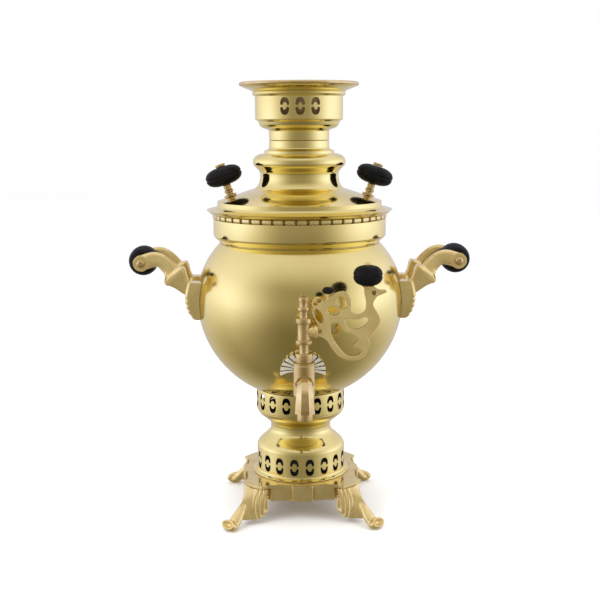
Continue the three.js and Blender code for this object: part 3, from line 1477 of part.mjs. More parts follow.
add('key_thumb_knob', thumbKnob(), blackPlastic, keyGroup).position.set(thumbPlace, 0, thumbBottomZ);
const washerHole = rod(plugThreadRadius + seatGap, washerThickness + 2 * cutOverrun, screwSteps);
const washer = cut(rod(washerRadius, washerThickness, trimSteps), moved(washerHole, 0, 0, -cutOverrun));
add('plug_washer', washer, castBrass, keyGroup).position.z = barrelFootZ - washerThickness - seatGap;
const plugNutZ = barrelFootZ - washerThickness - 2 * seatGap - plugThreadRadius * nutHeightShare;
add('plug_nut', nut(plugThreadRadius), castBrass, keyGroup).position.z = plugNutZ;

// The model's origin is on the ground, under the middle between its foremost and rearmost points
const frontReach = bellyRadius + tapStandOff + spoutReach + spoutMouthHalf;
samovar.position.y = (frontReach - bellyRadius) / 2;
const model = new THREE.Group();
model.add(samovar);

export default model;
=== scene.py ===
import json
from math import acos, asin, atan2, copysign, cos, exp, hypot, pi, radians, sin, sqrt, tan

import bmesh
import bpy
from mathutils import Matrix, Vector


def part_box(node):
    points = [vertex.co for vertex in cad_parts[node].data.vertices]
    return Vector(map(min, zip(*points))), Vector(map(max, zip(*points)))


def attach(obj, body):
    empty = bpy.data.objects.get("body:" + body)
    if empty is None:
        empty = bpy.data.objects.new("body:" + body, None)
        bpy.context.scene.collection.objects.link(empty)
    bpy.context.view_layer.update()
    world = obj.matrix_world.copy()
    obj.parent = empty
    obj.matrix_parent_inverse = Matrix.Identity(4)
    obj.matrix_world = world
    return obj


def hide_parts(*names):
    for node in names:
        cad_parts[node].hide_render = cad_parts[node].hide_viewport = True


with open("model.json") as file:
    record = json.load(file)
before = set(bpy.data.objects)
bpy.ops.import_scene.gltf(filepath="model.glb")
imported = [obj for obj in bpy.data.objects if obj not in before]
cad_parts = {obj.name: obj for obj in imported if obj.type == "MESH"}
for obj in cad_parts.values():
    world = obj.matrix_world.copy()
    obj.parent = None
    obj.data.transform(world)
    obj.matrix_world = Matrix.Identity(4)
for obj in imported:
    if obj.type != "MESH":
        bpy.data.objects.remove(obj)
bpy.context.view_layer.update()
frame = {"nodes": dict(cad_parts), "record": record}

# The frame: what each solid rides on, and the object's upright axis
record = frame["record"]
BODY_OF = {node: body for body, nodes in record["behaviour"]["bodies"].items() for node in nodes}
MM = 0.001
belly_low, belly_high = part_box("belly_vessel")
AXIS = Vector(((belly_low.x + belly_high.x) / 2, (belly_low.y + belly_high.y) / 2, 0))


def span(node):
    """A solid's foot and top, and the radius of a round one, in millimetres."""
    low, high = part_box(node)
    return low.z / MM, high.z / MM, max(high.x - low.x, high.y - low.y) / 2 / MM


# Fineness
BODY_STEPS = 240
TRIM_STEPS = 72
SMALL_STEPS = 40
CURVE_STEPS = 16
CAST_VOXEL = 0.5
LEG_ROUNDS = 4
BRACKET_ROUNDS = 3

# Clearances and sheet
SEAT_GAP = 0.3
RUN_GAP = 0.5
SHEET = 1.4
EDGE_ROUND = 0.7
FINE_ROUND = 0.4
LID_ROUND = 0.5
TURNED_ROUND = 0.6
SOFT_ROUND = 0.8
CAP_ROUND = 0.9
THUMB_ROUND = 1.6
OVERRUN = 4

# Base plate and legs
PLATE_HALF = 65.6
PLATE_REACH = 79.5
PLATE_DEPTH = 18
PLATE_SLAB = 4
PLATE_EDGE = 0.8
LOBE_TURN_SHARE = 0.13
LOBE_ROUND = 2.2
SKIRT_WALL = 3
SKIRT_ROUND = 1.2
SKIRT_EDGE = 0.6
SKIRT_SHARE = 0.54
CHAMFER_REACH = 66
ASH_DEPTH = 0.4
GROUND_CLEAR = 26
TOE_REACH = 107.5
TOE_LENGTH = 22
ANKLE_HALF = 7
ANKLE_SQUARENESS = 2.1
WING_EDGE = 73.2
WING_RIDGE = 80.5
WING_KNEE = 100.5
WING_BOW = 7
WING_TOP_HALF = 17.3
WING_HEM_HALF = 13.5
WING_WALL = 3.2
WING_HEM_WALL = 6.5
WING_COLUMNS = 144
WING_ROWS = 24
PLEATS = 3
PLEAT_DEPTH = 2.1
PLEAT_POWER = 0.8
SMOOTH_SHARES = (0.3, 0.62)

# Pedestal and vents. A tongue has a width, a height and a squareness.
FLANGE_RADIUS = 54.7
FLANGE_HEIGHT = 4.2
BAND_RADIUS = 50
BAND_HEIGHT = 25
WAIST_RADIUS = 34.2
WAIST_HEIGHT = 3.7
WAIST_FLARE = 21
BOWL_RADIUS = 49
BOWL_RISE = 18.4
RING_LIP = 42
VENTS_PER_RING = 18
VENT_SIZE = (9.8, 19)
VENT_TONGUE = (5.5, 9, 2.2)
VENT_BRIDGE = 2
VENT_SQUARENESS = 2.6

# Fire tube, belly and band
TUBE_FLANGE = 50
TUBE_FOOT = 46.4
TUBE_TOP = 30.8
TUBE_CONE = 95
BELLY_RISE = 98
BELLY_DROP = 114
BELLY_FOOT = 54
BELLY_NECK = 88.9
VESSEL_NECK = 86
BAND_COVE = 9
DENTIL_COUNT = 48
DENTIL_DEPTH = 1.6
DENTIL_BORE = 88
DENTIL_CRISPNESS = 14
DENTIL_WIDTH = 0.78

# Lid
BRIM_HEIGHT = 3.9
BRIM_RISE = 5.6
STEP_RADIUS = 91
STEP_HEIGHT = 3.5
FLANK_RISE = 12.4
LID_WAIST_OUTER = 53.7
LID_WAIST = 43.4
LID_WAIST_RISE = 14.6
LID_WAIST_HEIGHT = 3
BULGE_RADIUS = 51.1
BULGE_RISE = 11.9
BULGE_HEIGHT = 1.6
BULGE_FALL = 15.5
LEDGE_WIDTH = 4.4
LEDGE_DROP = 3.4
LEDGE_HEIGHT = 3.6
NECK_RADIUS = 33.1
NECK_FILLET = 0.6
LID_SKIRT_RADIUS = 84
LID_SKIRT_DEPTH = 14
KNOB_REACH = 76
KNOB_RADIUS = 20.4
KNOB_THICKNESS = 20
KNOB_GROOVE = 0.8
KNOB_SIDE = 2.3
KNOB_RIM = 2.8
STEM_HEIGHT = 14
STEM_RADIUS = 4.4
STEM_WAIST_SHARE = 0.93
STEM_FLANGE_RADIUS = 7
STEM_FLANGE_HEIGHT = 2.4
THREAD_RADIUS = 2.5
THREAD_LENGTH = 8
CAP_RADIUS = 5.5
CAP_HEIGHT = 3

# Crown, with its shoulder and the step above it as shares of the widening and the rise
CROWN_NECK = 10
CROWN_RISE = 12.8
CROWN_RADIUS = 48.2
CROWN_LIP = 49.4
CROWN_HEIGHT = 23
CROWN_ROLL_LIFT = 3.7
CROWN_BEAD = 2.2
FLARE_RADIUS = 64.2
FLARE_HEIGHT = 12.8
CROWN_GROUPS = 3
CROWN_VENTS = 3
CROWN_VENT_SIZE = (10.3, 18.5)
CROWN_TONGUE = (5.4, 8.2, 1.4)
CROWN_SHOULDER = [(0, 0), (0.05, 0.07), (0.22, 0.16), (0.5, 0.29), (0.68, 0.5), (0.77, 0.8)]
CROWN_STEP = [(0.81, 0.85), (0.97, 0.93), (1, 1)]

# Handles, with the foot's shape as shares of its height, depth and width
BRACKET_SPACING = 50
EYE_REACH = 174
EYE_RISE = 43
EYE_RADIUS = 8.8
HORN_HALF = 4.6
COLLAR_HALF_WIDTH = 13.4
COLLAR_HALF_DEPTH = 9
FOOT_HEIGHT = 42
FOOT_HALF = 8.6
FOOT_DEPTH = 15
FOOT_TOP_SHARE = 0.52
FOOT_BEND = 0.4
FOOT_FALL = 0.62
FOOT_SHARES = (0.72, 0.8)
FOOT_TAPER = 0.45
FOOT_HUG = 0.8
FOOT_FLUTES = 4
FLUTE_SHARES = (0.42, 0.98)
FLUTE_DEPTH = 1.3
STUD_RADIUS = 2.4
STUD_LENGTH = 11
GRIP_RADIUS = 16.2
GRIP_END = 9.6
GRIP_GROOVE = 0.7
GROOVE_SHARE = 0.06
GRIP_SQUARENESS = 2.4
ROD_RADIUS = 2.8
ROD_HEAD = 4.8
ROD_HEAD_HEIGHT = 3.2

# Tap, with the barrel's groove as insets and depths below its top
TAP_STAND_OFF = 16.7
TAP_DROP = 64
BARREL_RADIUS = 10.8
BARREL_ABOVE = 18.5
BARREL_BELOW = 16
BARREL_TAPER = 1.5
BARREL_GROOVE = [(0, 2.4), (0.5, 1.9), (0.5, 1.5), (0, 1.1)]
BARREL_CORE = 1
CORE_INSET = 0.6
PLUG_FOOT = 7
PLUG_TOP = 8
SHANK_RADIUS = 8
SHANK_INSIDE = 14
WAY_RADIUS = 3.8
ROOT_RADIUS = 9.4
ROOT_STEP = 1.4
ROOT_DROP = 1.5
SPOUT_REACH = 20.5
SPOUT_DROP = 28.4
SPOUT_HALF = 7.8
MOUTH_HALF = 10
NOTCH_HALF = 4.1
NOTCH_HEIGHT = 4
NOZZLE_RADIUS = 7.7
NOZZLE_BORE = 4.6
SPIGOT_RADIUS = 5.8
SPIGOT_HEIGHT = 6
FAN_RADIUS = 23
FAN_THICKNESS = 2.6
FAN_FLUTES = 13
FAN_FLUTE_DEPTH = 1.1
FAN_SWEEP = radians(206)
FAN_ROOT_SPREAD = 0.82
FAN_ROWS = 14
FAN_DOME = 0.6
FAN_LOBE = 1.2
FAN_LOBE_POWER = 0.6

# Tap key: the turned stack above its neck is a list of radius and height, and carries the lever
KEY_CAP = 9.4
KEY_CAP_FOOT = 8.2
KEY_CAP_TOP = 8.9
KEY_NECK = 9.6
KEY_NECK_RADIUS = 4.7
KEY_STACK = [(8.4, 4.2), (6.5, 17), (8.4, 5.4), (4.4, 7.4), (6.1, 3.6), (4.4, 5.6), (5, 4)]
KEY_TIP = 3
KEY_TAIL_RADIUS = 3
KEY_TAIL = 7
TENON_RADIUS = 2.8
TENON_REACH = 13.9
BOSS_LINE = [(0, 0), (5.6, 0), (5.6, 9.6), (6.5, 10.2), (6.5, 13.3), (5.6, 13.9), (0, 13.9)]
LEVER_REACH = 83.6
LEVER_RISE = 76.6
LEVER_THICKNESS = 4.5
LEVER_EDGE = 0.6
LEVER_KNOB_PLACE = 64.4
LEVER_KNOB_RADIUS = 14.8
LEVER_CUP = 3
LEVER_CUP_LINE = [(0, -3), (3.84, -3), (4.4, -1.8), (5.8, -0.6), (6.4, 0), (0, 0)]
KEY_SCREW_RADIUS = 4
KEY_SCREW_HEIGHT = 2.6
BOSS_CLEAR = 15
EYE_FLOOR_RADIUS = 3
EYE_FLOOR_HALF = 1
THUMB_PLACE = 24.4
THUMB_RISE_SHARE = 0.495
THUMB_RADIUS = 5.8
THUMB_HEIGHT = 6.5
THUMB_NECK = 2
THUMB_NECK_DEPTH = 6

# Levels
belly_foot_z, belly_top_z, belly_radius = span("belly_vessel")
belly_z = belly_foot_z + BELLY_DROP * sqrt(1 - (BELLY_FOOT / belly_radius) ** 2)
belly_neck_z = belly_z + BELLY_RISE * sqrt(1 - (BELLY_NECK / belly_radius) ** 2)
plate_top_z = GROUND_CLEAR + PLATE_DEPTH
slab_foot_z = plate_top_z - PLATE_SLAB
lid_seat_z = span("lid")[0] + LID_SKIRT_DEPTH
lid_step_z = lid_seat_z + BRIM_HEIGHT + BRIM_RISE
lid_flank_z = lid_step_z + STEP_HEIGHT
flank_slope = atan2(FLANK_RISE, STEP_RADIUS - LID_WAIST_OUTER)
bracket_foot_z = belly_z + FOOT_HEIGHT * FOOT_TOP_SHARE
bracket_eye_z = belly_z + EYE_RISE
water_way_z = belly_z - TAP_DROP
tap_y = -(belly_radius + TAP_STAND_OFF)
barrel_foot_z = water_way_z - BARREL_BELOW
key_cap_z = water_way_z + BARREL_ABOVE + SEAT_GAP
lever_z = key_cap_z + KEY_CAP + KEY_NECK + KEY_STACK[0][1] + KEY_STACK[1][1] / 2


# Places
def move(x, y, z):
    return Matrix.Translation((x, y, z))


def spin(angle, axis):
    return Matrix.Rotation(angle, 4, axis)


def along_y(x, z, start):
    """Lays an upright form down so that its top points to -Y."""
    return move(x, start, z) @ spin(pi / 2, "X")


# Curves in the plane of a profile, as lists of (radius, height), each without its first point
def bent(start, end, out, up, steps):
    """A curve whose two coordinates go from start to end as out and up say."""
    made = []
    for i in range(1, steps + 1):
        made.append((
            start[0] + (end[0] - start[0]) * out(i / steps),
            start[1] + (end[1] - start[1]) * up(i / steps),
        ))
    return made


def soon(share):
    return sin(pi / 2 * share)


def late(share):
    return 1 - cos(pi / 2 * share)


def ogee(start, end, steps=CURVE_STEPS):
    """Upright at both ends."""
    return bent(start, end, lambda share: (1 - cos(pi * share)) / 2, lambda share: share, steps)


def cove(start, end, steps=CURVE_STEPS):
    """Level at the start, upright at the end."""
    return bent(start, end, soon, late, steps)


def quarter(start, end, steps=CURVE_STEPS):
    """Upright at the start, level at the end."""
    return bent(start, end, late, soon, steps)


def spline(points, per_span=6, closed=False):
    """A smooth line of tuples of any length through points."""
    count = len(points)
    made = []
    for i in range(count if closed else count - 1):
        near = [(i + k) % count if closed else min(max(i + k, 0), count - 1) for k in (-1, 0, 1, 2)]
        for step in range(per_span):
            t = step / per_span
            made.append(tuple(
                0.5 * (2 * b + (c - a) * t + (2 * a - 5 * b + 4 * c - d) * t ** 2
                       + (3 * b - a - 3 * c + d) * t ** 3)
                for a, b, c, d in zip(*[points[k] for k in near])
            ))
    return made if closed else [*made, tuple(points[-1])]


def rounded(points, radius=EDGE_ROUND, closed=True, arc=4):
    """The same outline with each sharp corner rounded by up to that radius."""
    least_turn = radians(20)
    made = []
    count = len(points)
    for i, point in enumerate(points):
        here = Vector(point)
        back = Vector(points[i - 1]) - here
        ahead = Vector(points[(i + 1) % count]) - here
        on_end = not closed and i in (0, count - 1)
        on_axis = abs(point[0]) < EDGE_ROUND / 10
        turn = 0 if on_end or min(back.length, ahead.length) == 0 else pi - back.angle(ahead)
        if turn < least_turn or on_axis:
            made.append(tuple(point))
            continue
        reach = min(radius * tan(turn / 2), 0.45 * back.length, 0.45 * ahead.length)
        start = here + back.normalized() * reach
        end = here + ahead.normalized() * reach
        for step in range(arc + 1):
            t = step / arc
            made.append(tuple(start * (1 - t) ** 2 + here * 2 * t * (1 - t) + end * t ** 2))
    return made


def inner_line(outer):
    """The inner line of a sheet, followed back from the last point of its outer line."""
    made = []
    for i, point in enumerate(outer):
        before = Vector(outer[max(i - 1, 0)])
        along = (Vector(outer[min(i + 1, len(outer) - 1)]) - before).normalized()
        made.append((point[0] - along.y * SHEET, point[1] + along.x * SHEET))
    return made[::-1]


def squared(value, squareness):
    """A sine or cosine bent for a squarer round: 2 is an ellipse."""
    return copysign(abs(value) ** (2 / squareness), value)


# Meshes
def shown(name, data):
    made = bpy.data.objects.new(name, data)
    bpy.context.scene.collection.objects.link(made)
    return made


def cleaned(mesh, reach):
    """Points that meet become one and all faces look out."""
    shape = bmesh.new()
    shape.from_mesh(mesh)
    bmesh.ops.remove_doubles(shape, verts=shape.verts, dist=reach)
    bmesh.ops.recalc_face_normals(shape, faces=shape.faces)
    shape.to_mesh(mesh)
    shape.free()
    return mesh


def mesh_of(points, faces, matrix=Matrix()):
    mesh = bpy.data.meshes.new("form")
    mesh.from_pydata([matrix @ Vector(p) for p in points], [], faces)
    mesh.validate()
    return cleaned(mesh, 1e-4)


def revolved(profile, steps=BODY_STEPS, matrix=Matrix(), reach_at=None):
    """Turns a profile that closes on itself, or starts and ends on the axis."""
    points = []
    rows = []
    for radius, z in profile:
        on_axis = abs(radius) < 1e-6
        rows.append([len(points)] * steps if on_axis else range(len(points), len(points) + steps))
        for k in range(1 if on_axis else steps):
            angle = 2 * pi * k / steps - pi / 2
            reach = reach_at(radius, angle) if reach_at else radius
            points.append((reach * cos(angle), reach * sin(angle), z))
    ends_on_axis = abs(profile[0][0]) + abs(profile[-1][0]) < 1e-6
    faces = []
    for row, after in zip(rows, rows[1:] if ends_on_axis else [*rows[1:], rows[0]]):
        for k in range(steps):
            ahead = (k + 1) % steps
            face = list(dict.fromkeys([row[k], row[ahead], after[ahead], after[k]]))
            if len(face) > 2:
                faces.append(face)
    return mesh_of(points, faces, matrix)


def rod(radius, length, matrix=Matrix(), steps=SMALL_STEPS):
    return revolved([(0, 0), (radius, 0), (radius, length), (0, length)], steps, matrix)


def block(low, high):
    corners = [(x, y, z) for x in (low[0], high[0]) for y in (low[1], high[1]) for z in (low[2], high[2])]
    sides = [(0, 1, 3, 2), (4, 6, 7, 5), (0, 4, 5, 1), (2, 3, 7, 6), (0, 2, 6, 4), (1, 5, 7, 3)]
    return mesh_of(corners, sides)


def loft(sections, matrix=Matrix()):
    """A closed body through sections that each go round."""
    across = len(sections[0])
    points = [p for section in sections for p in section]
    faces = [list(range(across)), [len(points) - 1 - j for j in range(across)]]
    for a in range(0, len(points) - across, across):
        for j in range(across):
            b = (j + 1) % across
            faces.append([a + j, a + b, a + b + across, a + j + across])
    return mesh_of(points, faces, matrix)


def plate_between(front, back):
    """A closed plate between a front grid and a back grid of the same counts."""
    rows = len(front)
    across = len(front[0])
    half = rows * across
    faces = []
    for i in range(rows - 1):
        for j in range(across - 1):
            a = i * across + j
            face = [a, a + 1, a + 1 + across, a + across]
            faces += [face, [k + half for k in face]]
    edge = [*range(across), *range(2 * across - 1, half, across)]
    edge += [*range(half - 2, half - across - 1, -1), *range(half - 2 * across, 0, -across)]
    for a, b in zip(edge, [*edge[1:], edge[0]]):
        faces.append([a, b, b + half, a + half])
    return mesh_of([p for grid in (front, back) for row in grid for p in row], faces)


def section(middle, across, up, half_across, half_up, squareness, steps):
    """A section with rounded or square corners: squareness 2 is an ellipse, larger is squarer."""
    made = []
    for i in range(steps):
        angle = 2 * pi * i / steps + pi / steps
        along = half_across * squared(cos(angle), squareness)
        made.append(middle + across * along + up * half_up * squared(sin(angle), squareness))
    return made


def prism(outline, foot_z, top_z, bevel=0.0, holes=()):
    """An outline pulled up, with beveled rims."""
    curve = bpy.data.curves.new("outline", "CURVE")
    curve.dimensions = "2D"
    curve.fill_mode = "BOTH"
    for line in [outline, *holes]:
        strand = curve.splines.new("POLY")
        strand.points.add(len(line) - 1)
        for point, (x, y) in zip(strand.points, line):
            point.co = (x, y, 0, 1)
        strand.use_cyclic_u = True
    curve.extrude = (top_z - foot_z) / 2 - bevel
    curve.bevel_depth = bevel
    curve.bevel_resolution = 4
    curve.offset = -bevel
    mesh = settled(shown("outline", curve))
    mesh.transform(move(0, 0, (foot_z + top_z) / 2))
    return cleaned(mesh, 1e-3)


def settled(holder):
    """The mesh of an object with its modifiers applied. The object goes."""
    depsgraph = bpy.context.evaluated_depsgraph_get()
    mesh = bpy.data.meshes.new_from_object(holder.evaluated_get(depsgraph))
    bpy.data.objects.remove(holder)
    return mesh


def joined(*meshes):
    shape = bmesh.new()
    for mesh in meshes:
        shape.from_mesh(mesh)
    made = bpy.data.meshes.new("form")
    shape.to_mesh(made)
    shape.free()
    return made


def combined(mesh, tool, operation):
    holder = shown("holder", mesh)
    cutter = shown("cutter", tool)
    step = holder.modifiers.new("step", "BOOLEAN")
    step.operation = operation
    step.solver = "EXACT"
    step.object = cutter
    made = settled(holder)
    bpy.data.objects.remove(cutter)
    return made


def cut(mesh, *tools):
    """Takes tools that don't touch each other away at once."""
    return combined(mesh, joined(*tools), "DIFFERENCE")


def pared(mesh, *tools):
    """Takes tools that may overlap away one by one."""
    for tool in tools:
        mesh = cut(mesh, tool)
    return mesh


def united(*meshes):
    whole = meshes[0]
    for mesh in meshes[1:]:
        whole = combined(whole, mesh, "UNION")
    return whole


def fused(rounds, *meshes):
    """One casting from overlapping closed forms, with its corners blended."""
    holder = shown("holder", joined(*meshes))
    blend = holder.modifiers.new("blend", "REMESH")
    blend.mode = "VOXEL"
    blend.voxel_size = CAST_VOXEL
    smooth = holder.modifiers.new("smooth", "SMOOTH")
    smooth.factor = 0.5
    smooth.iterations = rounds
    return settled(holder)


def turned(mesh, matrix):
    """A moved copy. A mirroring matrix leaves its faces pointing out."""
    made = mesh.copy()
    made.transform(matrix)
    if matrix.determinant() < 0:
        made.flip_normals()
    return made


# Materials
def nodes_of(name, metallic, color, roughness):
    material = bpy.data.materials.new(name)
    material.use_nodes = True
    shader = material.node_tree.nodes["Principled BSDF"]
    shader.inputs["Metallic"].default_value = metallic
    shader.inputs["Base Color"].default_value = (*color, 1)
    shader.inputs["Roughness"].default_value = roughness
    return material, material.node_tree, shader


def noise(tree, scale, detail=3, stretch=(1, 1, 1)):
    place = tree.nodes.new("ShaderNodeTexCoord")
    squeeze = tree.nodes.new("ShaderNodeVectorMath")
    squeeze.operation = "MULTIPLY"
    squeeze.inputs[1].default_value = stretch
    pattern = tree.nodes.new("ShaderNodeTexNoise")
    pattern.inputs["Scale"].default_value = scale
    pattern.inputs["Detail"].default_value = detail
    tree.links.new(place.outputs["Object"], squeeze.inputs[0])
    tree.links.new(squeeze.outputs[0], pattern.inputs["Vector"])
    return pattern.outputs["Fac"]


def ranged(tree, value, low, high, start=0.35, end=0.65, easing="LINEAR"):
    """From low to high while the value goes from start to end."""
    ranging = tree.nodes.new("ShaderNodeMapRange")
    ranging.interpolation_type = easing
    for name, number in (("From Min", start), ("From Max", end), ("To Min", low), ("To Max", high)):
        ranging.inputs[name].default_value = number
    tree.links.new(value, ranging.inputs["Value"])
    return ranging.outputs["Result"]


def mixed(tree, share, first, second):
    blend = tree.nodes.new("ShaderNodeMix")
    blend.data_type = "RGBA"
    tree.links.new(share, blend.inputs["Factor"])
    for socket, value in zip([s for s in blend.inputs if s.type == "RGBA"], (first, second)):
        if isinstance(value, tuple):
            socket.default_value = (*value, 1)
        else:
            tree.links.new(value, socket)
    return [s for s in blend.outputs if s.type == "RGBA"][0]


def coat(name, metallic, colors, patches, gloss, skin, bump, stretch=(1, 1, 1)):
    """Two colours in patches, or without patches the second colour as painted shade where the mesh's
    groove depth attribute is high, with an uneven gloss and a fine skin. Patches and skin are a
    noise's scale and detail, gloss the lowest and highest roughness and their noise's scale, bump a
    strength and a depth in metres.
    """
    material, tree, shader = nodes_of(name, metallic, colors[0], gloss[0])
    if patches:
        share = ranged(tree, noise(tree, *patches), 0, 1)
    else:
        # The dark colour goes into the grooves as painted shade.
        groove_shade = tree.nodes.new("ShaderNodeAttribute")
        groove_shade.attribute_name = "groove_shade"
        share = ranged(tree, groove_shade.outputs["Fac"], 0, 1, 0.3, 0.6)
    tree.links.new(mixed(tree, share, *colors), shader.inputs["Base Color"])
    tree.links.new(ranged(tree, noise(tree, gloss[2]), *gloss[:2]), shader.inputs["Roughness"])
    relief = tree.nodes.new("ShaderNodeBump")
    relief.inputs["Strength"].default_value, relief.inputs["Distance"].default_value = bump
    tree.links.new(noise(tree, *skin, stretch), relief.inputs["Height"])
    tree.links.new(relief.outputs["Normal"], shader.inputs["Normal"])
    return material


def spun_brass(name, low, high):
    """Polished sheet: faint rings from the spinning lathe and a light tarnish."""
    colors = ((0.87, 0.73, 0.28), (0.83, 0.68, 0.24))
    return coat(name, 1, colors, (16, 3), (low, high, 45), (500, 2), (0.03, 0.0002), (0.02, 0.02, 1))


def cast_brass(name, color, dark, rough, metallic=0.8):
    """Cast and brushed: a fine skin and slightly darker patches."""
    gloss = (rough - 0.05, rough + 0.06, 220)
    return coat(name, metallic, (color, dark), (70, 3), gloss, (700, 3), (0.08, 0.0002))


def groove_shaded_brass(name, color, dark, metallic):
    """Casting whose flutes and gaps are darkened in the dark colour as painted shade."""
    return coat(name, metallic, (color, dark), None, (0.2, 0.34, 300), (900, 3), (0.05, 0.0001))


SPUN = spun_brass("spun_brass", 0.075, 0.13)
BELLY = spun_brass("belly_brass", 0.13, 0.19)
CAST = cast_brass("cast_brass", (0.82, 0.65, 0.28), (0.74, 0.56, 0.22), 0.2)
PLATE = cast_brass("plate_brass", (0.8, 0.64, 0.28), (0.72, 0.55, 0.22), 0.13, 0.9)
WARM = cast_brass("warm_brass", (0.74, 0.56, 0.25), (0.6, 0.43, 0.17), 0.18, 0.95)
# Dull brass is the fire tube's finish; on the lever's openwork walls and eye floor it is painted shade.
DULL_AND_SHADE = cast_brass("dull_and_shade_brass", (0.33, 0.23, 0.1), (0.2, 0.13, 0.06), 0.42)
# Painted shade: the second, darker colour of these two fills the fan's flutes and the dentil gaps.
FLUTE_SHADED = groove_shaded_brass("groove_shaded_brass", (0.66, 0.62, 0.5), (0.05, 0.035, 0.015), 0.4)
GAP_SHADED = groove_shaded_brass("gap_shaded_brass", (0.8, 0.64, 0.26), (0.24, 0.17, 0.06), 0.9)
BLACK = coat(
    "black_finish", 0, ((0.005, 0.0045, 0.004), (0.009, 0.008, 0.007)),
    (120, 4), (0.4, 0.55, 300), (600, 3), (0.1, 0.0002),
)
BLACK.node_tree.nodes["Principled BSDF"].inputs["Specular IOR Level"].default_value = 0.06
SOOTED = coat(
    "sooted_brass", 0.5, ((0.02, 0.015, 0.01), (0.05, 0.036, 0.018)),
    (90, 5), (0.5, 0.75, 200), (800, 4), (0.25, 0.0003),
)
IRON = coat(
    "sooted_iron", 0.7, ((0.05, 0.045, 0.04), (0.11, 0.07, 0.045)),
    (150, 5), (0.5, 0.8, 300), (1100, 4), (0.4, 0.0004),
)


# Pieces
def piece(node, mesh, material, sharp=35, flats=False):
    """Puts a finished mesh in the scene in place of its solid. Flats keep their own light."""
    mesh.transform(Matrix.Translation(AXIS) @ Matrix.Scale(MM, 4))
    mesh.materials.clear()
    mesh.materials.append(material)
    mesh.shade_smooth()
    mesh.set_sharp_from_angle(angle=radians(sharp))
    made = shown(f"{node}_look", mesh)
    if flats:
        made.modifiers.new("even", "WEIGHTED_NORMAL").keep_sharp = True
    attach(made, BODY_OF[node])
    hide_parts(node)
    return made


def painted(node, material):
    """A small solid that shows as it is, with its own finish."""
    mesh = frame["nodes"][node].data
    mesh.materials.clear()
    mesh.materials.append(material)


def recoated(made, material, chosen):
    """Gives another finish to the faces that are chosen by their middle and their normal."""
    made.data.materials.append(material)
    for face in made.data.polygons:
        if chosen((face.center - AXIS) / MM, face.normal):
            face.material_index = len(made.data.materials) - 1


def lined(made, radius, material):
    """Gives another finish to the inner faces of an upright round, and to all within a radius."""
    recoated(made, material, lambda at, normal: (
        hypot(at.x, at.y) < radius or normal.x * at.x + normal.y * at.y < 0
    ))


def fluted(mesh, depth_at):
    """Notes on each vertex how deep in a flute or gap it lies, where the finish paints shade."""
    depth = mesh.attributes.new("groove_shade", "FLOAT", "POINT")
    for vertex, value in zip(mesh.vertices, depth.data):
        value.value = depth_at(vertex.co)


# Vents: each is an oval cut as two crescents that leave a tongue in the middle
def crescent_tool(size, tongue, side, angle, radius, middle_z):
    def arc(width, height, squareness, forward, steps):
        start = asin(VENT_BRIDGE / height)
        turns = [start + (pi - 2 * start) * i / steps for i in range(steps + 1)]
        return [
            (width / 2 * squared(cos(a), squareness), side * height / 2 * squared(sin(a), squareness))
            for a in (turns if forward else reversed(turns))
        ]

    outline = arc(*size, VENT_SQUARENESS, True, 18) + arc(*tongue, False, 12)
    turn = move(0, 0, middle_z) @ spin(angle + pi / 2, "Z") @ spin(pi / 2, "X")
    return loft([[(x, y, radius + depth) for x, y in outline] for depth in (-OVERRUN, OVERRUN)], turn)


def pierced(node, shell, radius, middle_z, angles, size=VENT_SIZE, tongue=VENT_TONGUE):
    """A spun piece with vents cut through its band."""
    return piece(node, cut(shell, *[
        crescent_tool(size, tongue, side, angle, radius, middle_z) for angle in angles for side in (1, -1)
    ]), SPUN)


def ring_angles(count, turn):
    return [turn + 2 * pi * i / count for i in range(count)]


# Base plate
PLATE_SHARES = [
    (0, 1), (0.09, 0.998), (0.165, 0.99), (0.18, 0.975), (0.188, 0.93), (0.2, 0.925), (0.212, 0.942),
    (0.3, 0.93), (0.41, 0.924), (0.5, 0.928), (0.6, 0.94),
]


def all_round(half_side, corner=()):
    """Half a side, mirrored at the corner and repeated round the plate."""
    side = [*half_side, *corner, *[(y, x) for x, y in reversed(half_side)][:-1]]
    turns = [Matrix.Rotation(-pi / 2 * turn, 2) for turn in range(4)]
    return [tuple(around @ Vector(p)) for around in turns for p in side]


def plate_outline():
    shoulder = pi / 4 + pi / 2 * LOBE_TURN_SHARE
    half_side = [(along * PLATE_HALF, out * PLATE_HALF) for along, out in PLATE_SHARES]
    half_side.append((PLATE_REACH * cos(shoulder), PLATE_REACH * sin(shoulder)))
    corner = PLATE_REACH * sqrt(0.5)
    return rounded(all_round(half_side, [(corner, corner)]), LOBE_ROUND)


def skirt_outline(inset, turn=0.0):
    half = PLATE_HALF - inset
    kept = [(along * half, out * half) for along, out in PLATE_SHARES if along < SKIRT_SHARE]
    along = SKIRT_SHARE * half
    kept += [(along, kept[-1][1]), (along, (CHAMFER_REACH - inset) * sqrt(2) - along)]
    around = Matrix.Rotation(turn, 2)
    return [tuple(around @ Vector(p)) for p in all_round(kept)]


def base_plate():
    slab = prism(plate_outline(), slab_foot_z, plate_top_z, PLATE_EDGE)
    skirt_top_z = plate_top_z - PLATE_SLAB / 2
    skirt = prism(rounded(skirt_outline(0), SKIRT_ROUND), GROUND_CLEAR, skirt_top_z, SKIRT_EDGE)
    hollow = prism(skirt_outline(SKIRT_WALL), GROUND_CLEAR - OVERRUN, slab_foot_z)
    ash_z = plate_top_z - ASH_DEPTH
    ash_tray = rod(BAND_RADIUS - 2 * SHEET, OVERRUN, move(0, 0, ash_z), TRIM_STEPS)
    made = piece("base_plate", pared(united(slab, skirt), hollow, ash_tray), PLATE, 40, True)
    recoated(made, SOOTED, lambda at, normal: normal.z > 0.5 and abs(at.z - ash_z) < ASH_DEPTH / 2)


# A leg points along +X here: two pleated wings that meet in a ridge, an ankle and a toe
HEM_SHARES = [(0, 0.3), (0.3, 0.26), (0.6, 0.24), (0.7, 0.26), (0.8, 0.31), (0.9, 0.42), (1, 0.65)]
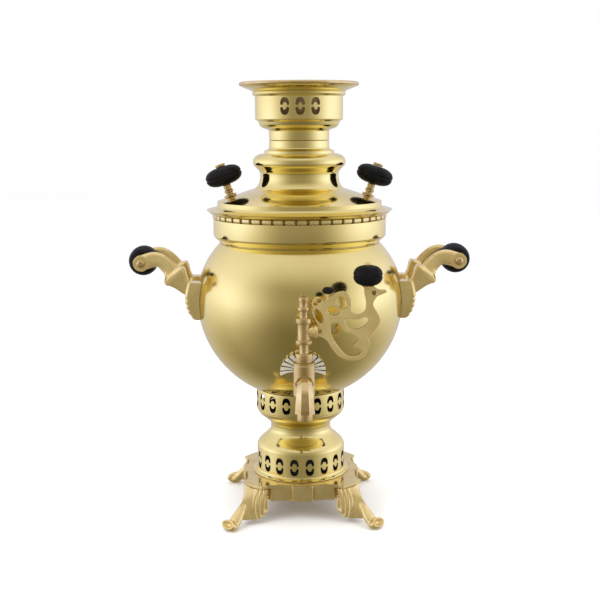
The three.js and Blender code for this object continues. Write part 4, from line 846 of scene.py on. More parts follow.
# Reach, height, half width and half thickness, as shares of the toe's reach, the plate's height,
# the ankle's half width and the toe's length
ANKLE_SHARES = [
    (0.765, 1.3, 0.2, 0.1), (0.828, 1.0, 0.42, 0.15), (0.88, 0.74, 0.68, 0.2),
    (0.922, 0.54, 0.86, 0.235), (0.96, 0.38, 0.98, 0.25), (0.993, 0.25, 1.02, 0.24),
    (1.025, 0.19, 1.2, 0.26), (1.055, 0.23, 1.4, 0.27), (1.078, 0.3, 1.34, 0.235),
    (1.083, 0.315, 1.15, 0.19), (1.072, 0.28, 0.85, 0.13), (1.058, 0.24, 0.45, 0.07),
]


def between(low, high, share):
    return low + (high - low) * share


def hem_at(across):
    for (low, low_hem), (high, high_hem) in zip(HEM_SHARES, HEM_SHARES[1:]):
        if across <= high:
            return between(low_hem, high_hem, (across - low) / (high - low))
    return HEM_SHARES[-1][1]


def pleat_at(across, down):
    """Folds that fan out beside a smooth face, which widens downwards."""
    smooth = between(*SMOOTH_SHARES, down)
    if across < smooth:
        return 0
    return abs(sin(pi * PLEATS * (across - smooth) / (1 - smooth))) ** PLEAT_POWER


def wing_point(share, down, inset):
    across = abs(share)
    ridge = 1 - across
    reach = between(between(WING_EDGE, WING_RIDGE, ridge), between(WING_EDGE, WING_KNEE, ridge), down)
    bow = WING_BOW * ridge * sin(pi * down)
    pleat = PLEAT_DEPTH * pleat_at(across, down) * between(0.5, 1, down)
    half_width = between(WING_TOP_HALF, WING_HEM_HALF, down)
    return Vector((
        reach + bow + pleat / 2 - inset * between(WING_WALL, WING_HEM_WALL, down),
        copysign(across * half_width + pleat, share),
        between(slab_foot_z - SEAT_GAP, hem_at(across) * GROUND_CLEAR, down),
    ))


def ankle():
    shares = spline(ANKLE_SHARES, 5)
    middles = [Vector((reach * TOE_REACH, 0, height * GROUND_CLEAR)) for reach, height, _, _ in shares]
    rim = max(range(len(middles)), key=lambda i: middles[i].x)
    across = Vector((0, 1, 0))
    sections = []
    for i, (_, _, width, thickness) in enumerate(shares):
        along = (middles[min(i + 1, rim)] - middles[max(min(i, rim) - 1, 0)]).normalized()
        sections.append(section(
            middles[i], across, across.cross(along), width * ANKLE_HALF, thickness * TOE_LENGTH,
            ANKLE_SQUARENESS, 24,
        ))
    return loft(sections)


def leg_mesh():
    wings = plate_between(*[
        [
            [wing_point(1 - 2 * j / WING_COLUMNS, i / WING_ROWS, inset) for j in range(WING_COLUMNS + 1)]
            for i in range(WING_ROWS + 1)
        ]
        for inset in (0, 1)
    ])
    top_z = slab_foot_z - SEAT_GAP
    root = block(
        (CHAMFER_REACH - PLATE_SLAB, -ANKLE_HALF, GROUND_CLEAR),
        (WING_RIDGE - WING_WALL / 2, ANKLE_HALF, top_z),
    )
    return pared(
        fused(LEG_ROUNDS, wings, ankle(), root),
        prism(skirt_outline(-SEAT_GAP, pi / 4), GROUND_CLEAR - SEAT_GAP, plate_top_z),
        block((0, -PLATE_HALF, top_z), (2 * PLATE_HALF, PLATE_HALF, plate_top_z + OVERRUN)),
        block((0, -PLATE_HALF, -PLATE_DEPTH), (2 * TOE_REACH, PLATE_HALF, 0)),
    )


def legs():
    leg = leg_mesh()
    for index, place in enumerate(("rear_right", "rear_left", "front_left", "front_right")):
        piece(f"leg_{place}", turned(leg, spin(pi / 4 + pi / 2 * index, "Z")), CAST)
        painted(f"leg_screw_{place}", IRON)


# Pedestal and the pierced ring above it
def pedestal():
    foot_z = span("pedestal")[0]
    flange_z = foot_z + FLANGE_HEIGHT
    band_z = flange_z + BAND_HEIGHT
    waist_z = band_z + WAIST_FLARE
    waist_top_z = waist_z + WAIST_HEIGHT
    top_z = waist_top_z + BOWL_RISE
    line = [
        (BAND_RADIUS, flange_z),
        (BAND_RADIUS, band_z),
        *ogee((BAND_RADIUS, band_z), (WAIST_RADIUS, waist_z)),
        (WAIST_RADIUS, waist_top_z),
        *ogee((WAIST_RADIUS, waist_top_z), (BOWL_RADIUS, top_z)),
    ]
    lip = [(RING_LIP, top_z), (RING_LIP, top_z - SHEET), (BOWL_RADIUS - 2 * SHEET, top_z - SHEET)]
    flange = [
        (BAND_RADIUS - SHEET, foot_z),
        (FLANGE_RADIUS, foot_z),
        (FLANGE_RADIUS, foot_z + SHEET / 2),
        *cove((FLANGE_RADIUS - SHEET, foot_z + SHEET), (BAND_RADIUS, flange_z), 8)[:-1],
    ]
    shell = revolved(rounded([*line, *lip, *inner_line(line)[1:-1], *flange]))
    angles = ring_angles(VENTS_PER_RING, pi / VENTS_PER_RING - pi / 2)
    lined(pierced("pedestal", shell, BAND_RADIUS, (flange_z + band_z) / 2 - SHEET, angles), 0, SOOTED)


def vent_ring():
    foot_z, top_z, radius = span("upper_vent_ring")
    inside = radius - SHEET
    ring = revolved(rounded([
        (radius, foot_z), (radius, top_z), (RING_LIP, top_z), (RING_LIP, top_z - SHEET),
        (inside, top_z - SHEET), (inside, foot_z + SHEET), (RING_LIP, foot_z + SHEET), (RING_LIP, foot_z),
    ]))
    angles = ring_angles(VENTS_PER_RING, -pi / 2)
    lined(pierced("upper_vent_ring", ring, radius, (foot_z + top_z) / 2, angles), 0, SOOTED)


# Fire tube
def fire_tube():
    foot_z, top_z, _ = span("fire_tube")
    cone_z = belly_foot_z + SHEET
    outer = [(TUBE_FOOT, cone_z), (TUBE_TOP, cone_z + TUBE_CONE), (TUBE_TOP, top_z)]
    inner = [(radius - SHEET, z) for radius, z in reversed(outer)]
    flange = [
        (TUBE_FOOT - SHEET, foot_z), (TUBE_FLANGE, foot_z), (TUBE_FLANGE, foot_z + SHEET),
        (TUBE_FOOT, foot_z + SHEET),
    ]
    line = rounded([*flange[1:], *outer, *inner, flange[0]], FINE_ROUND)
    piece("fire_tube", revolved(line, TRIM_STEPS), DULL_AND_SHADE)


# Belly, band and dentil ring
def belly_radius_at(z):
    half = BELLY_RISE if z > belly_z else BELLY_DROP
    return belly_radius * sqrt(max(0, 1 - ((z - belly_z) / half) ** 2))


def belly_line(inset, steps):
    foot_angle = acos(BELLY_FOOT / belly_radius)
    neck_angle = acos(BELLY_NECK / belly_radius)
    turns = [(-foot_angle * (1 - i / steps), BELLY_DROP) for i in range(steps)]
    turns += [(neck_angle * i / steps, BELLY_RISE) for i in range(steps + 1)]
    return [
        ((belly_radius - inset) * cos(angle), belly_z + (half - inset) * sin(angle)) for angle, half in turns
    ]


def belly_tool():
    """The belly as a full body, to fit what stands against it."""
    line = belly_line(-SEAT_GAP, 24)
    return revolved([(0, line[0][1]), *line, (0, line[-1][1])])


def belly():
    shell = revolved([
        (TUBE_FOOT + SEAT_GAP, belly_foot_z),
        *belly_line(0, 48),
        (VESSEL_NECK, belly_neck_z),
        (VESSEL_NECK, belly_top_z),
        (VESSEL_NECK - SHEET, belly_top_z),
        (VESSEL_NECK - SHEET, belly_neck_z - SHEET),
        *belly_line(SHEET, 24)[1:-1][::-1],
        (BELLY_FOOT - SHEET, belly_foot_z + SHEET),
        (TUBE_FOOT + SEAT_GAP, belly_foot_z + SHEET),
    ])
    shank_hole = rod(SHANK_RADIUS - SHEET + SEAT_GAP, belly_radius, along_y(0, water_way_z, 0))
    piece("belly_vessel", cut(shell, shank_hole), BELLY, 40)


def neck_band():
    foot_z, top_z, radius = span("neck_band")
    line = [(BELLY_NECK, foot_z), *ogee((BELLY_NECK, foot_z), (radius, foot_z + BAND_COVE)), (radius, top_z)]
    seat = [(DENTIL_BORE, top_z), (DENTIL_BORE, top_z - SHEET), (radius - SHEET, top_z - SHEET)]
    piece("neck_band", revolved(rounded([*line, *seat, *inner_line(line)[1:]])), SPUN)


def dentil_ring():
    foot_z, top_z, _ = span("dentil_ring")
    radius = span("neck_band")[2] + DENTIL_DEPTH / 2

    def gap_at(angle):
        """0 on a tooth and 1 in the narrow gap between two."""
        along = cos((angle + pi / 2) * DENTIL_COUNT)
        return 1 - 1 / (1 + exp(-DENTIL_CRISPNESS * (along + DENTIL_WIDTH)))

    def tooth(reach, angle):
        return reach if reach < radius - DENTIL_DEPTH else reach - DENTIL_DEPTH * gap_at(angle)

    bead = [
        (
            radius - DENTIL_DEPTH * (1 - sqrt(1 - (share / 1.02) ** 4)) * 0.9,
            between(foot_z, top_z, (1 + share) / 2),
        )
        for share in (-1, -0.9, -0.7, -0.4, 0, 0.4, 0.7, 0.9, 1)
    ]
    profile = [*bead, (DENTIL_BORE, top_z), (DENTIL_BORE, foot_z)]
    ring = revolved(profile, 20 * DENTIL_COUNT, Matrix(), tooth)
    # The gaps between the teeth are marked to be painted dark as shade.
    fluted(ring, lambda at: gap_at(atan2(at.y, at.x)))
    piece("dentil_ring", ring, GAP_SHADED)


# Lid with its knobs
def lid():
    _, top_z, brim_radius = span("lid")
    brim_z = lid_seat_z + BRIM_HEIGHT
    waist_z = lid_flank_z + FLANK_RISE
    waist_top_z = waist_z + LID_WAIST_RISE + LID_WAIST_HEIGHT
    bulge_z = waist_top_z + BULGE_RISE
    bulge_top_z = bulge_z + BULGE_HEIGHT
    neck_z = bulge_top_z + BULGE_FALL
    ledge = (NECK_RADIUS + LEDGE_WIDTH, neck_z - LEDGE_DROP)
    line = [
        (STEP_RADIUS, lid_flank_z),
        (LID_WAIST_OUTER, waist_z),
        *cove((LID_WAIST_OUTER, waist_z), (LID_WAIST, waist_z + LID_WAIST_RISE)),
        (LID_WAIST, waist_top_z),
        *ogee((LID_WAIST, waist_top_z), (BULGE_RADIUS, bulge_z)),
        (BULGE_RADIUS, bulge_top_z),
        *quarter((BULGE_RADIUS, bulge_top_z), (ledge[0] + 1, ledge[1] - LEDGE_HEIGHT)),
        (ledge[0] + 1, ledge[1] - LEDGE_HEIGHT / 4),
        ledge,
        *cove(ledge, (NECK_RADIUS, neck_z + NECK_FILLET), 8),
    ]
    brim = [
        (span("dentil_ring")[2], lid_seat_z),
        (brim_radius, brim_z),
        *cove((brim_radius, brim_z), (STEP_RADIUS, lid_step_z)),
    ]
    bore = TUBE_TOP + RUN_GAP
    step_inside = STEP_RADIUS - SHEET
    skirt_inside = LID_SKIRT_RADIUS - SHEET
    skirt_foot_z = lid_seat_z - LID_SKIRT_DEPTH
    shell = revolved(rounded([
        *brim, *line, (NECK_RADIUS, top_z), (bore, top_z), (bore, neck_z - SHEET), *inner_line(line)[1:-1],
        (step_inside, lid_flank_z - SHEET), (step_inside, lid_seat_z + SHEET),
        (skirt_inside, lid_seat_z + SHEET), (skirt_inside, skirt_foot_z),
        (LID_SKIRT_RADIUS, skirt_foot_z), (LID_SKIRT_RADIUS, lid_seat_z),
    ], LID_ROUND))
    piece("lid", cut(shell, *[
        rod(THREAD_RADIUS + SEAT_GAP, 4 * OVERRUN, knob_axis(turn, -2 * OVERRUN)) for turn in (0, pi)
    ]), SPUN)


def knob_axis(turn, up):
    """From upright at the axis to a knob's leaning place on the lid's flank."""
    foot_z = lid_flank_z + (STEP_RADIUS - KNOB_REACH) * tan(flank_slope)
    return spin(turn, "Z") @ move(KNOB_REACH, 0, foot_z) @ spin(flank_slope, "Y") @ move(0, 0, up)


def knob(radius, matrix):
    """A turned knob: a fat disc with a fine groove round its middle."""
    half = KNOB_THICKNESS / 2
    bore = THREAD_RADIUS + SEAT_GAP
    widest = radians(75)
    count = 23
    side = []
    for i in range(-count, count + 1):
        angle = widest * i / count
        rise = squared(sin(angle), KNOB_SIDE) / squared(sin(widest), KNOB_SIDE)
        groove = KNOB_GROOVE * max(0, 1 - abs(i) / 1.5)
        side.append((radius * squared(cos(angle), KNOB_RIM) - groove, half + half * rise))
    return revolved([(bore, 0), *side, (bore, KNOB_THICKNESS)], TRIM_STEPS, matrix)


def stem(matrix):
    """A turned stem: thread, flange, ring, waist, collar and the thread through the knob."""
    height = STEM_HEIGHT - SEAT_GAP
    tip_z = STEM_HEIGHT + KNOB_THICKNESS - SEAT_GAP
    waist = STEM_RADIUS * STEM_WAIST_SHARE
    ring = STEM_RADIUS + STEM_FLANGE_HEIGHT / 3
    turning = [(waist, 0.36), (ring, 0.4), (ring, 0.54), (waist, 0.58), (waist, 0.74), (STEM_RADIUS, 0.78)]
    return revolved(rounded([
        (0, -THREAD_LENGTH), (THREAD_RADIUS, -THREAD_LENGTH), (THREAD_RADIUS, SEAT_GAP),
        (STEM_FLANGE_RADIUS, SEAT_GAP), (STEM_FLANGE_RADIUS, STEM_FLANGE_HEIGHT), (waist, STEM_FLANGE_HEIGHT),
        *[(radius, height * share) for radius, share in turning],
        (STEM_RADIUS, height), (THREAD_RADIUS, height), (THREAD_RADIUS, tip_z), (0, tip_z),
    ], TURNED_ROUND, False), SMALL_STEPS, matrix)


def screw_cap(radius, height, matrix):
    """A low round nut with a softened rim and a dimple."""
    line = [(0, 0), (radius, 0), (radius, height), (radius * 0.35, height), (0, height * 0.8)]
    return revolved(rounded(line, CAP_ROUND, False), SMALL_STEPS, matrix)


def lid_knobs():
    for side, turn in (("right", 0), ("left", pi)):
        cap_at = knob_axis(turn, STEM_HEIGHT + KNOB_THICKNESS + SEAT_GAP)
        piece(f"lid_knob_stem_{side}", stem(knob_axis(turn, 0)), WARM)
        piece(f"lid_knob_{side}", knob(KNOB_RADIUS, knob_axis(turn, STEM_HEIGHT)), BLACK, 50)
        piece(f"lid_knob_screw_{side}", screw_cap(CAP_RADIUS, CAP_HEIGHT, cap_at), WARM)
        painted(f"lid_knob_nut_{side}", CAST)


# Crown
def crown():
    foot_z, top_z, bead_radius = span("crown")
    shoulder_z = foot_z + CROWN_NECK
    wall_z = shoulder_z + CROWN_RISE
    roll_z = wall_z + CROWN_HEIGHT + CROWN_ROLL_LIFT
    shoulder, step = [
        [(between(NECK_RADIUS, CROWN_RADIUS, out), shoulder_z + rise * CROWN_RISE) for out, rise in shares]
        for shares in (CROWN_SHOULDER, CROWN_STEP)
    ]
    lip = CROWN_LIP + SHEET
    roll = [
        (lip + out * SHEET, roll_z + up * SHEET)
        for out, up in ((-1 / 2, -1), (0, -1 / 3), (1 / 4, 1 / 2), (0, 1.3), (-1 / 6, 1.6))
    ]
    line = [
        *spline(shoulder, 5),
        *step,
        (CROWN_RADIUS, roll_z - 1.5 * SHEET),
        *spline(roll, 4),
        *ogee(roll[-1], (FLARE_RADIUS - SHEET, wall_z + CROWN_HEIGHT + FLARE_HEIGHT))[1:],
    ]
    bead = [
        (bead_radius - CROWN_BEAD * (1 - cos(angle)), top_z - CROWN_BEAD * (1 - sin(angle)))
        for angle in [radians(between(-75, 90, i / 10)) for i in range(11)]
    ]
    bead.append((bead_radius - 2 * CROWN_BEAD, top_z))
    bore = TUBE_TOP + RUN_GAP
    neck = [(bore, shoulder_z + SHEET / 2), (bore, foot_z), (NECK_RADIUS, foot_z)]
    shell = revolved(rounded([*line, *bead, *inner_line(line)[:-1], *neck]))
    spread = [(i - (CROWN_VENTS - 1) / 2) * 2 * pi / VENTS_PER_RING for i in range(CROWN_VENTS)]
    angles = [middle + turn for middle in ring_angles(CROWN_GROUPS, -pi / 2) for turn in spread]
    middle_z = wall_z + CROWN_HEIGHT / 2 + VENT_BRIDGE
    made = pierced("crown", shell, CROWN_RADIUS, middle_z, angles, CROWN_VENT_SIZE, CROWN_TONGUE)
    # The bead gets the darker warm brass as a painted dark reflection.
    recoated(made, WARM, lambda at, normal: at.z > top_z - 2 * CROWN_BEAD)
    lined(made, bore, DULL_AND_SHADE)


# Side handles. From the rod to the belly: out and rise as shares of the horn's, the half height, the
# half thickness as a share, and the squareness. The arm's half heights are in millimetres.
ARM_ROWS = [
    (1.0, 1.0, 8.5, 0.9, 2.6), (0.78, 1.09, 8.3, 1.0, 2.6), (0.64, 1.06, 7.7, 1.0, 2.6),
    (0.54, 0.95, 8.0, 1.05, 2.6), (0.475, 0.85, 8.3, 1.15, 2.8), (0.44, 0.77, 8.9, 1.3, 3.4),
]
COLLAR_ROWS = [
    (0.405, 0.71, 0.98, 0.98, 7), (0.395, 0.69, 1, 1, 8), (0.36, 0.65, 1, 1, 8), (0.35, 0.636, 0.94, 0.96, 8),
    (0.27, 0.5, 0.68, 0.8, 6), (0.18, 0.37, 0.56, 0.68, 5), (0.02, 0.25, 0.56, 0.66, 5),
]


def horn():
    rows = [
        (out, rise, high * half_high, thick * half_thick, square)
        for table, half_high, half_thick in (
            (spline(ARM_ROWS, 5), 1, HORN_HALF), (COLLAR_ROWS, COLLAR_HALF_WIDTH, COLLAR_HALF_DEPTH),
        )
        for out, rise, high, thick, square in table
    ]
    middles = [
        Vector((between(belly_radius, EYE_REACH, out), 0, belly_z + rise * EYE_RISE))
        for out, rise, *_ in rows
    ]
    flat = Vector((0, 1, 0))
    sections = []
    for i, (_, _, half_up, half_flat, square) in enumerate(rows):
        along = (middles[min(i + 1, len(rows) - 1)] - middles[max(i - 1, 0)]).normalized()
        sections.append(section(middles[i], along.cross(flat), flat, half_up, half_flat, square, 32))
    eye = rod(EYE_RADIUS, 2 * HORN_HALF, along_y(EYE_REACH, bracket_eye_z, HORN_HALF))
    return joined(loft(sections), eye)


def bracket_foot():
    """The tongue on the belly: flat at the top, then rounded off and fluted across."""
    levels = 72
    start, end = FLUTE_SHARES
    sections = []
    for i in range(levels + 1):
        down = i / levels
        fluting = (down - start) / (end - start)
        groove = max(0, sin(2 * pi * FOOT_FLUTES * fluting)) if 0 < fluting < 1 else 0
        if down < FOOT_BEND:
            depth = FOOT_DEPTH * between(*FOOT_SHARES, down / FOOT_BEND)
        else:
            depth = FOOT_DEPTH * FOOT_SHARES[1] * sqrt(1 - ((down - FOOT_BEND) / FOOT_FALL) ** 2)
        half = FOOT_HALF * (1 - FOOT_TAPER * down ** 2)
        z = bracket_foot_z - down * FOOT_HEIGHT
        inner = belly_radius_at(z) - FOOT_DEPTH
        outer = belly_radius - (belly_radius - belly_radius_at(z)) * FOOT_HUG + depth - FLUTE_DEPTH * groove
        edge = [
            (inner, half), (outer - half / 3, half), (outer - half / 9, half * 0.8), (outer, half * 0.5),
        ]
        sections.append([(x, -y, z) for x, y in edge] + [(x, y, z) for x, y in reversed(edge)])
    return loft(sections)


def brackets():
    eye_at = along_y(EYE_REACH, bracket_eye_z, BRACKET_SPACING)
    rod_hole = rod(ROD_RADIUS + SEAT_GAP, 2 * BRACKET_SPACING, eye_at)
    casting = cut(fused(BRACKET_ROUNDS, horn(), bracket_foot()), rod_hole)
    tool = belly_tool()
    stud = rod(STUD_RADIUS, STUD_LENGTH + FOOT_DEPTH / 2)
    stud_at = move(belly_radius - STUD_LENGTH - SHEET, 0, bracket_foot_z - FOOT_HEIGHT / 2)
    lean = asin(BRACKET_SPACING / 2 / belly_radius)
    stud_at = spin(lean, "Z") @ stud_at @ spin(pi / 2, "Y")
    for side_name, side in (("right", 1), ("left", -1)):
        for end_name, end in (("front", -1), ("rear", 1)):
            place = Matrix.Diagonal((side, 1, 1, 1)) @ move(0, end * BRACKET_SPACING / 2, 0)
            fitted = combined(turned(casting, place), tool.copy(), "DIFFERENCE")
            fixed = turned(stud, Matrix.Diagonal((side, end, 1, 1)) @ stud_at)
            piece(f"bracket_{side_name}_{end_name}", united(fitted, fixed), CAST, 45)
            painted(f"bracket_nut_{side_name}_{end_name}", CAST)


def grips():
    half = BRACKET_SPACING / 2 - HORN_HALF - SEAT_GAP
    bore = ROD_RADIUS + SEAT_GAP
    side = []
    for share in [i / 20 - 1 for i in range(41)]:
        reach = between(GRIP_END, GRIP_RADIUS, sqrt(max(0, 1 - abs(share) ** GRIP_SQUARENESS)))
        near = [max(0, 1 - abs(share - place) / GROOVE_SHARE) for place in (-0.5, 0.5)]
        groove = GRIP_GROOVE * sum(near)
        side.append((reach - groove, share * half))
    outside = BRACKET_SPACING / 2 + HORN_HALF + SEAT_GAP
    tip = 2 * outside + ROD_RADIUS * 1.5 - SEAT_GAP
    head = rounded([
        (0, -ROD_HEAD_HEIGHT), (ROD_HEAD * 0.55, -ROD_HEAD_HEIGHT), (ROD_HEAD * 0.9, -ROD_HEAD_HEIGHT * 0.6),
        (ROD_HEAD, 0), (ROD_RADIUS, 0), (ROD_RADIUS, tip), (0, tip),
    ], SOFT_ROUND, False)
    for name, sign in (("right", 1), ("left", -1)):
        at = move(sign * EYE_REACH, 0, bracket_eye_z) @ spin(-pi / 2, "X")
        piece(f"grip_{name}", revolved([(bore, -half), *side, (bore, half)], TRIM_STEPS, at), BLACK, 50)
        piece(f"grip_rod_{name}", revolved(head, SMALL_STEPS, at @ move(0, 0, -outside)), WARM)
        painted(f"grip_nut_{name}", WARM)


# Tap
def fan():
    columns = 12 * FAN_FLUTES
    bore = SHANK_RADIUS + SEAT_GAP

    def lobe_at(share):
        return abs(sin(pi * FAN_FLUTES * share)) ** FAN_LOBE_POWER

    def spread_at(out):
        return FAN_SWEEP * between(FAN_ROOT_SPREAD, 1, out)

    def depth_at(at):
        out = (hypot(at.x, at.z - water_way_z) - bore) / (FAN_RADIUS - bore)
        lean = atan2(at.x, at.z - water_way_z)
        return 1 - lobe_at(0.5 + lean / spread_at(min(max(out, 0), 1)))

    def point(out, share, front):
        lean = spread_at(out) * (share - 0.5)
        lobe = FAN_FLUTE_DEPTH * out * lobe_at(share)
        radius = between(bore, FAN_RADIUS, out) + lobe
        x, z = radius * sin(lean), radius * cos(lean)
        dome = FAN_THICKNESS * (1 + FAN_DOME * (1 - out ** 2)) + lobe * FAN_LOBE if front else -FAN_THICKNESS
        return Vector((x, -sqrt(belly_radius_at(water_way_z + z) ** 2 - x ** 2) - dome, z + water_way_z))

    plate = plate_between(*[
        [[point(i / FAN_ROWS, j / columns, front) for j in range(columns + 1)] for i in range(FAN_ROWS + 1)]
        for front in (True, False)
    ])
    mesh = combined(plate, belly_tool(), "DIFFERENCE")
    # The flutes are marked to be painted dark as shade.
    fluted(mesh, depth_at)
    piece("tap_escutcheon", mesh, FLUTE_SHADED, 60)


def spout():
    """Eight-sided, bent down: out, fall, turn and width as shares."""
    rows = spline([
        (0.1, -0.02, 0.0, 1.0), (0.62, -0.1, 0.32, 1.0), (0.93, -0.3, 0.7, 1.06), (1.0, -0.6, 1.0, 1.18),
        (1.0, -1.0, 1.0, MOUTH_HALF / SPOUT_HALF),
    ], 7)
    sections = []
    for out, fall, turn, width in rows:
        tilt = pi / 2 * turn
        middle = Vector((0, tap_y - out * SPOUT_REACH, water_way_z + fall * SPOUT_DROP))
        half = width * SPOUT_HALF / cos(pi / 8)
        upright = Vector((0, -sin(tilt), cos(tilt)))
        sections.append(section(middle, Vector((1, 0, 0)), upright, half, half, 2, 8))
    return loft(sections)


def tap_body():
    height = BARREL_ABOVE + BARREL_BELOW
    foot_z = barrel_foot_z
    top_z = foot_z + height
    at_tap = move(0, tap_y, 0)
    plug_foot, plug_top = PLUG_FOOT + RUN_GAP, PLUG_TOP + RUN_GAP
    barrel = revolved(rounded([
        (plug_foot, foot_z), (BARREL_RADIUS - FINE_ROUND, foot_z), (BARREL_RADIUS, foot_z + BARREL_TAPER),
        *[(BARREL_RADIUS - inset, top_z - down) for inset, down in BARREL_GROOVE],
        (BARREL_RADIUS, top_z), (plug_top, top_z),
    ], FINE_ROUND), TRIM_STEPS, at_tap)
    bore = revolved([
        (0, foot_z - OVERRUN), (plug_foot, foot_z - OVERRUN), (plug_foot, foot_z), (plug_top, top_z),
        (plug_top, top_z + OVERRUN), (0, top_z + OVERRUN),
    ], TRIM_STEPS, at_tap)
    core_at = move(0, tap_y, foot_z + BARREL_CORE)
    core = rod(BARREL_RADIUS - CORE_INSET, height - 2 * BARREL_CORE, core_at, TRIM_STEPS)
    wall_y = -belly_radius_at(water_way_z + SHANK_RADIUS) - SEAT_GAP
    back_y = -(belly_radius_at(water_way_z) - SHEET - SHANK_INSIDE)
    shank = rod(SHANK_RADIUS, wall_y - tap_y, along_y(0, water_way_z, wall_y))
    thread = rod(SHANK_RADIUS - SHEET, back_y - tap_y, along_y(0, water_way_z, back_y))
    root = rod(ROOT_RADIUS, BARREL_RADIUS + ROOT_STEP, along_y(0, water_way_z - ROOT_DROP, tap_y), 8)
    spout_y = tap_y - SPOUT_REACH
    mouth_z = water_way_z - SPOUT_DROP
    way_length = back_y + OVERRUN - spout_y - WAY_RADIUS
    way = rod(WAY_RADIUS, way_length, along_y(0, water_way_z - WAY_RADIUS / 2, back_y + OVERRUN))
    fall = rod(WAY_RADIUS + SEAT_GAP, SPOUT_DROP - 2 * WAY_RADIUS, move(0, spout_y, mouth_z))
    socket_height = SPIGOT_HEIGHT + SEAT_GAP + OVERRUN
    socket = rod(SPIGOT_RADIUS + SEAT_GAP, socket_height, move(0, spout_y, mouth_z - OVERRUN))
    notch = block(
        (-NOTCH_HALF, spout_y - MOUTH_HALF - OVERRUN, mouth_z - OVERRUN),
        (NOTCH_HALF, spout_y - NOZZLE_RADIUS, mouth_z + NOTCH_HEIGHT),
    )
    body = united(barrel, core, shank, thread, root, spout())
    piece("tap_body", pared(body, bore, way, fall, socket, notch), WARM, 30, True)


def nozzle():
    foot_z, top_z, _ = span("spout_nozzle")
    shoulder_z = top_z - SPIGOT_HEIGHT
    piece("spout_nozzle", revolved(rounded([
        (NOZZLE_RADIUS, foot_z), (NOZZLE_RADIUS, shoulder_z), (SPIGOT_RADIUS, shoulder_z),
        (SPIGOT_RADIUS, top_z), (NOZZLE_BORE, top_z), (NOZZLE_BORE, foot_z),
    ], TURNED_ROUND), SMALL_STEPS, move(0, tap_y - SPOUT_REACH, 0)), WARM)


def tap_key():
    foot_z = barrel_foot_z
    z = key_cap_z + KEY_CAP
    line = [
        (0, foot_z - KEY_TAIL), (KEY_TAIL_RADIUS, foot_z - KEY_TAIL), (KEY_TAIL_RADIUS, foot_z),
        (PLUG_FOOT, foot_z), (PLUG_TOP, key_cap_z), (KEY_CAP_FOOT, key_cap_z), (KEY_CAP_TOP, z),
        (KEY_NECK_RADIUS, z), (KEY_NECK_RADIUS, z + KEY_NECK),
    ]
    z += KEY_NECK
    for radius, height in KEY_STACK:
        line += [(radius, z), (radius, z + height)]
        z += height
    line.append((0, z + KEY_TIP))
    at = move(0, tap_y, 0)
    sideways = spin(pi / 2, "Y")
    port_at = at @ move(-BARREL_RADIUS, 0, water_way_z - WAY_RADIUS / 2) @ sideways
    port = rod(WAY_RADIUS, 2 * BARREL_RADIUS, port_at)
    tenon = rod(TENON_RADIUS, TENON_REACH - SEAT_GAP, at @ move(0, 0, lever_z) @ sideways)
    key = cut(revolved(rounded(line, SOFT_ROUND, False), TRIM_STEPS, at), port)
    piece("tap_key", united(key, tenon), WARM)


# The bird's outline as runs, smooth or straight, in shares of the lever's reach and rise
BIRD_RUNS = [
    (True, [
        (0.166, -0.06), (0.267, -0.112), (0.341, -0.242), (0.443, -0.352), (0.574, -0.394),
        (0.718, -0.36), (0.769, -0.253), (0.794, -0.163), (0.769, -0.094),
    ]),
    (True, [
        (0.769, -0.094), (0.867, 0.027), (0.919, 0.133), (0.9, 0.219), (0.834, 0.349), (0.871, 0.444),
        (0.909, 0.473),
    ]),
    (False, [(0.909, 0.473), (1, 0.516), (0.984, 0.542)]),
    (True, [(0.984, 0.542), (0.927, 0.546), (0.873, 0.568), (0.843, 0.6)]),
    (False, [(0.843, 0.6), (0.718, 0.6)]),
    (True, [
        (0.718, 0.6), (0.728, 0.507), (0.75, 0.366), (0.73, 0.256), (0.644, 0.218), (0.574, 0.268),
        (0.561, 0.431), (0.508, 0.514), (0.449, 0.53), (0.341, 0.488), (0.266, 0.42), (0.236, 0.389),
    ]),
    (True, [(0.236, 0.389), (0.222, 0.431), (0.17, 0.457), (0.112, 0.42), (0.094, 0.352), (0.111, 0.316)]),
    (True, [(0.111, 0.316), (0.098, 0.266), (0.112, 0.201), (0.166, 0.085)]),
]
HEAD_SHARE = 0.6
# Openings as ellipses: middle, half axes and lean, in shares of reach, rise and half a turn. The eye is last.
BIRD_OVALS = [
    ((0.182, 0.407), (0.031, 0.026), 0.1),
    ((0.14, 0.364), (0.027, 0.022), 0),
    ((0.178, 0.205), (0.094, 0.045), -0.36),
    ((0.364, 0.272), (0.074, 0.056), 0),
    ((0.455, 0.376), (0.088, 0.058), -0.31),
    ((0.841, 0.507), (0.027, 0.03), 0),
]
BIRD_HOLES = [
    [
        (0.494, 0.129), (0.514, 0.168), (0.641, 0.157), (0.745, 0.185), (0.782, 0.136), (0.72, 0.056),
        (0.608, 0.022), (0.53, 0.06),
    ],
    [
        (0.408, 0.104), (0.487, -0.001), (0.59, -0.044), (0.657, -0.098), (0.644, -0.137), (0.6, -0.185),
        (0.61, -0.214), (0.679, -0.248), (0.679, -0.302), (0.593, -0.336), (0.506, -0.311), (0.41, -0.195),
        (0.331, -0.05), (0.322, 0.076), (0.348, 0.11),
    ],
]


def bird_points(shares):
    return [(along * LEVER_REACH, up * LEVER_RISE) for along, up in shares]


def bird_plate(matrix):
    outline = []
    for smooth, shares in BIRD_RUNS:
        run = bird_points(shares)
        outline += (spline(run, 6) if smooth else run)[:-1]
    outline += bird_points(BIRD_RUNS[-1][1][-1:])
    openings = []
    for middle, (long, short), lean in BIRD_OVALS:
        centre = Vector(bird_points([middle])[0])
        around = Matrix.Rotation(lean * pi, 2)
        openings.append([
            tuple(centre + around @ Vector((long * LEVER_REACH * cos(a), short * LEVER_REACH * sin(a))))
            for a in ring_angles(28, 0)
        ])
    openings += [spline(bird_points(shares), 6, True) for shares in BIRD_HOLES]
    half = LEVER_THICKNESS / 2
    return turned(prism(outline, -half, half, LEVER_EDGE, openings), matrix)


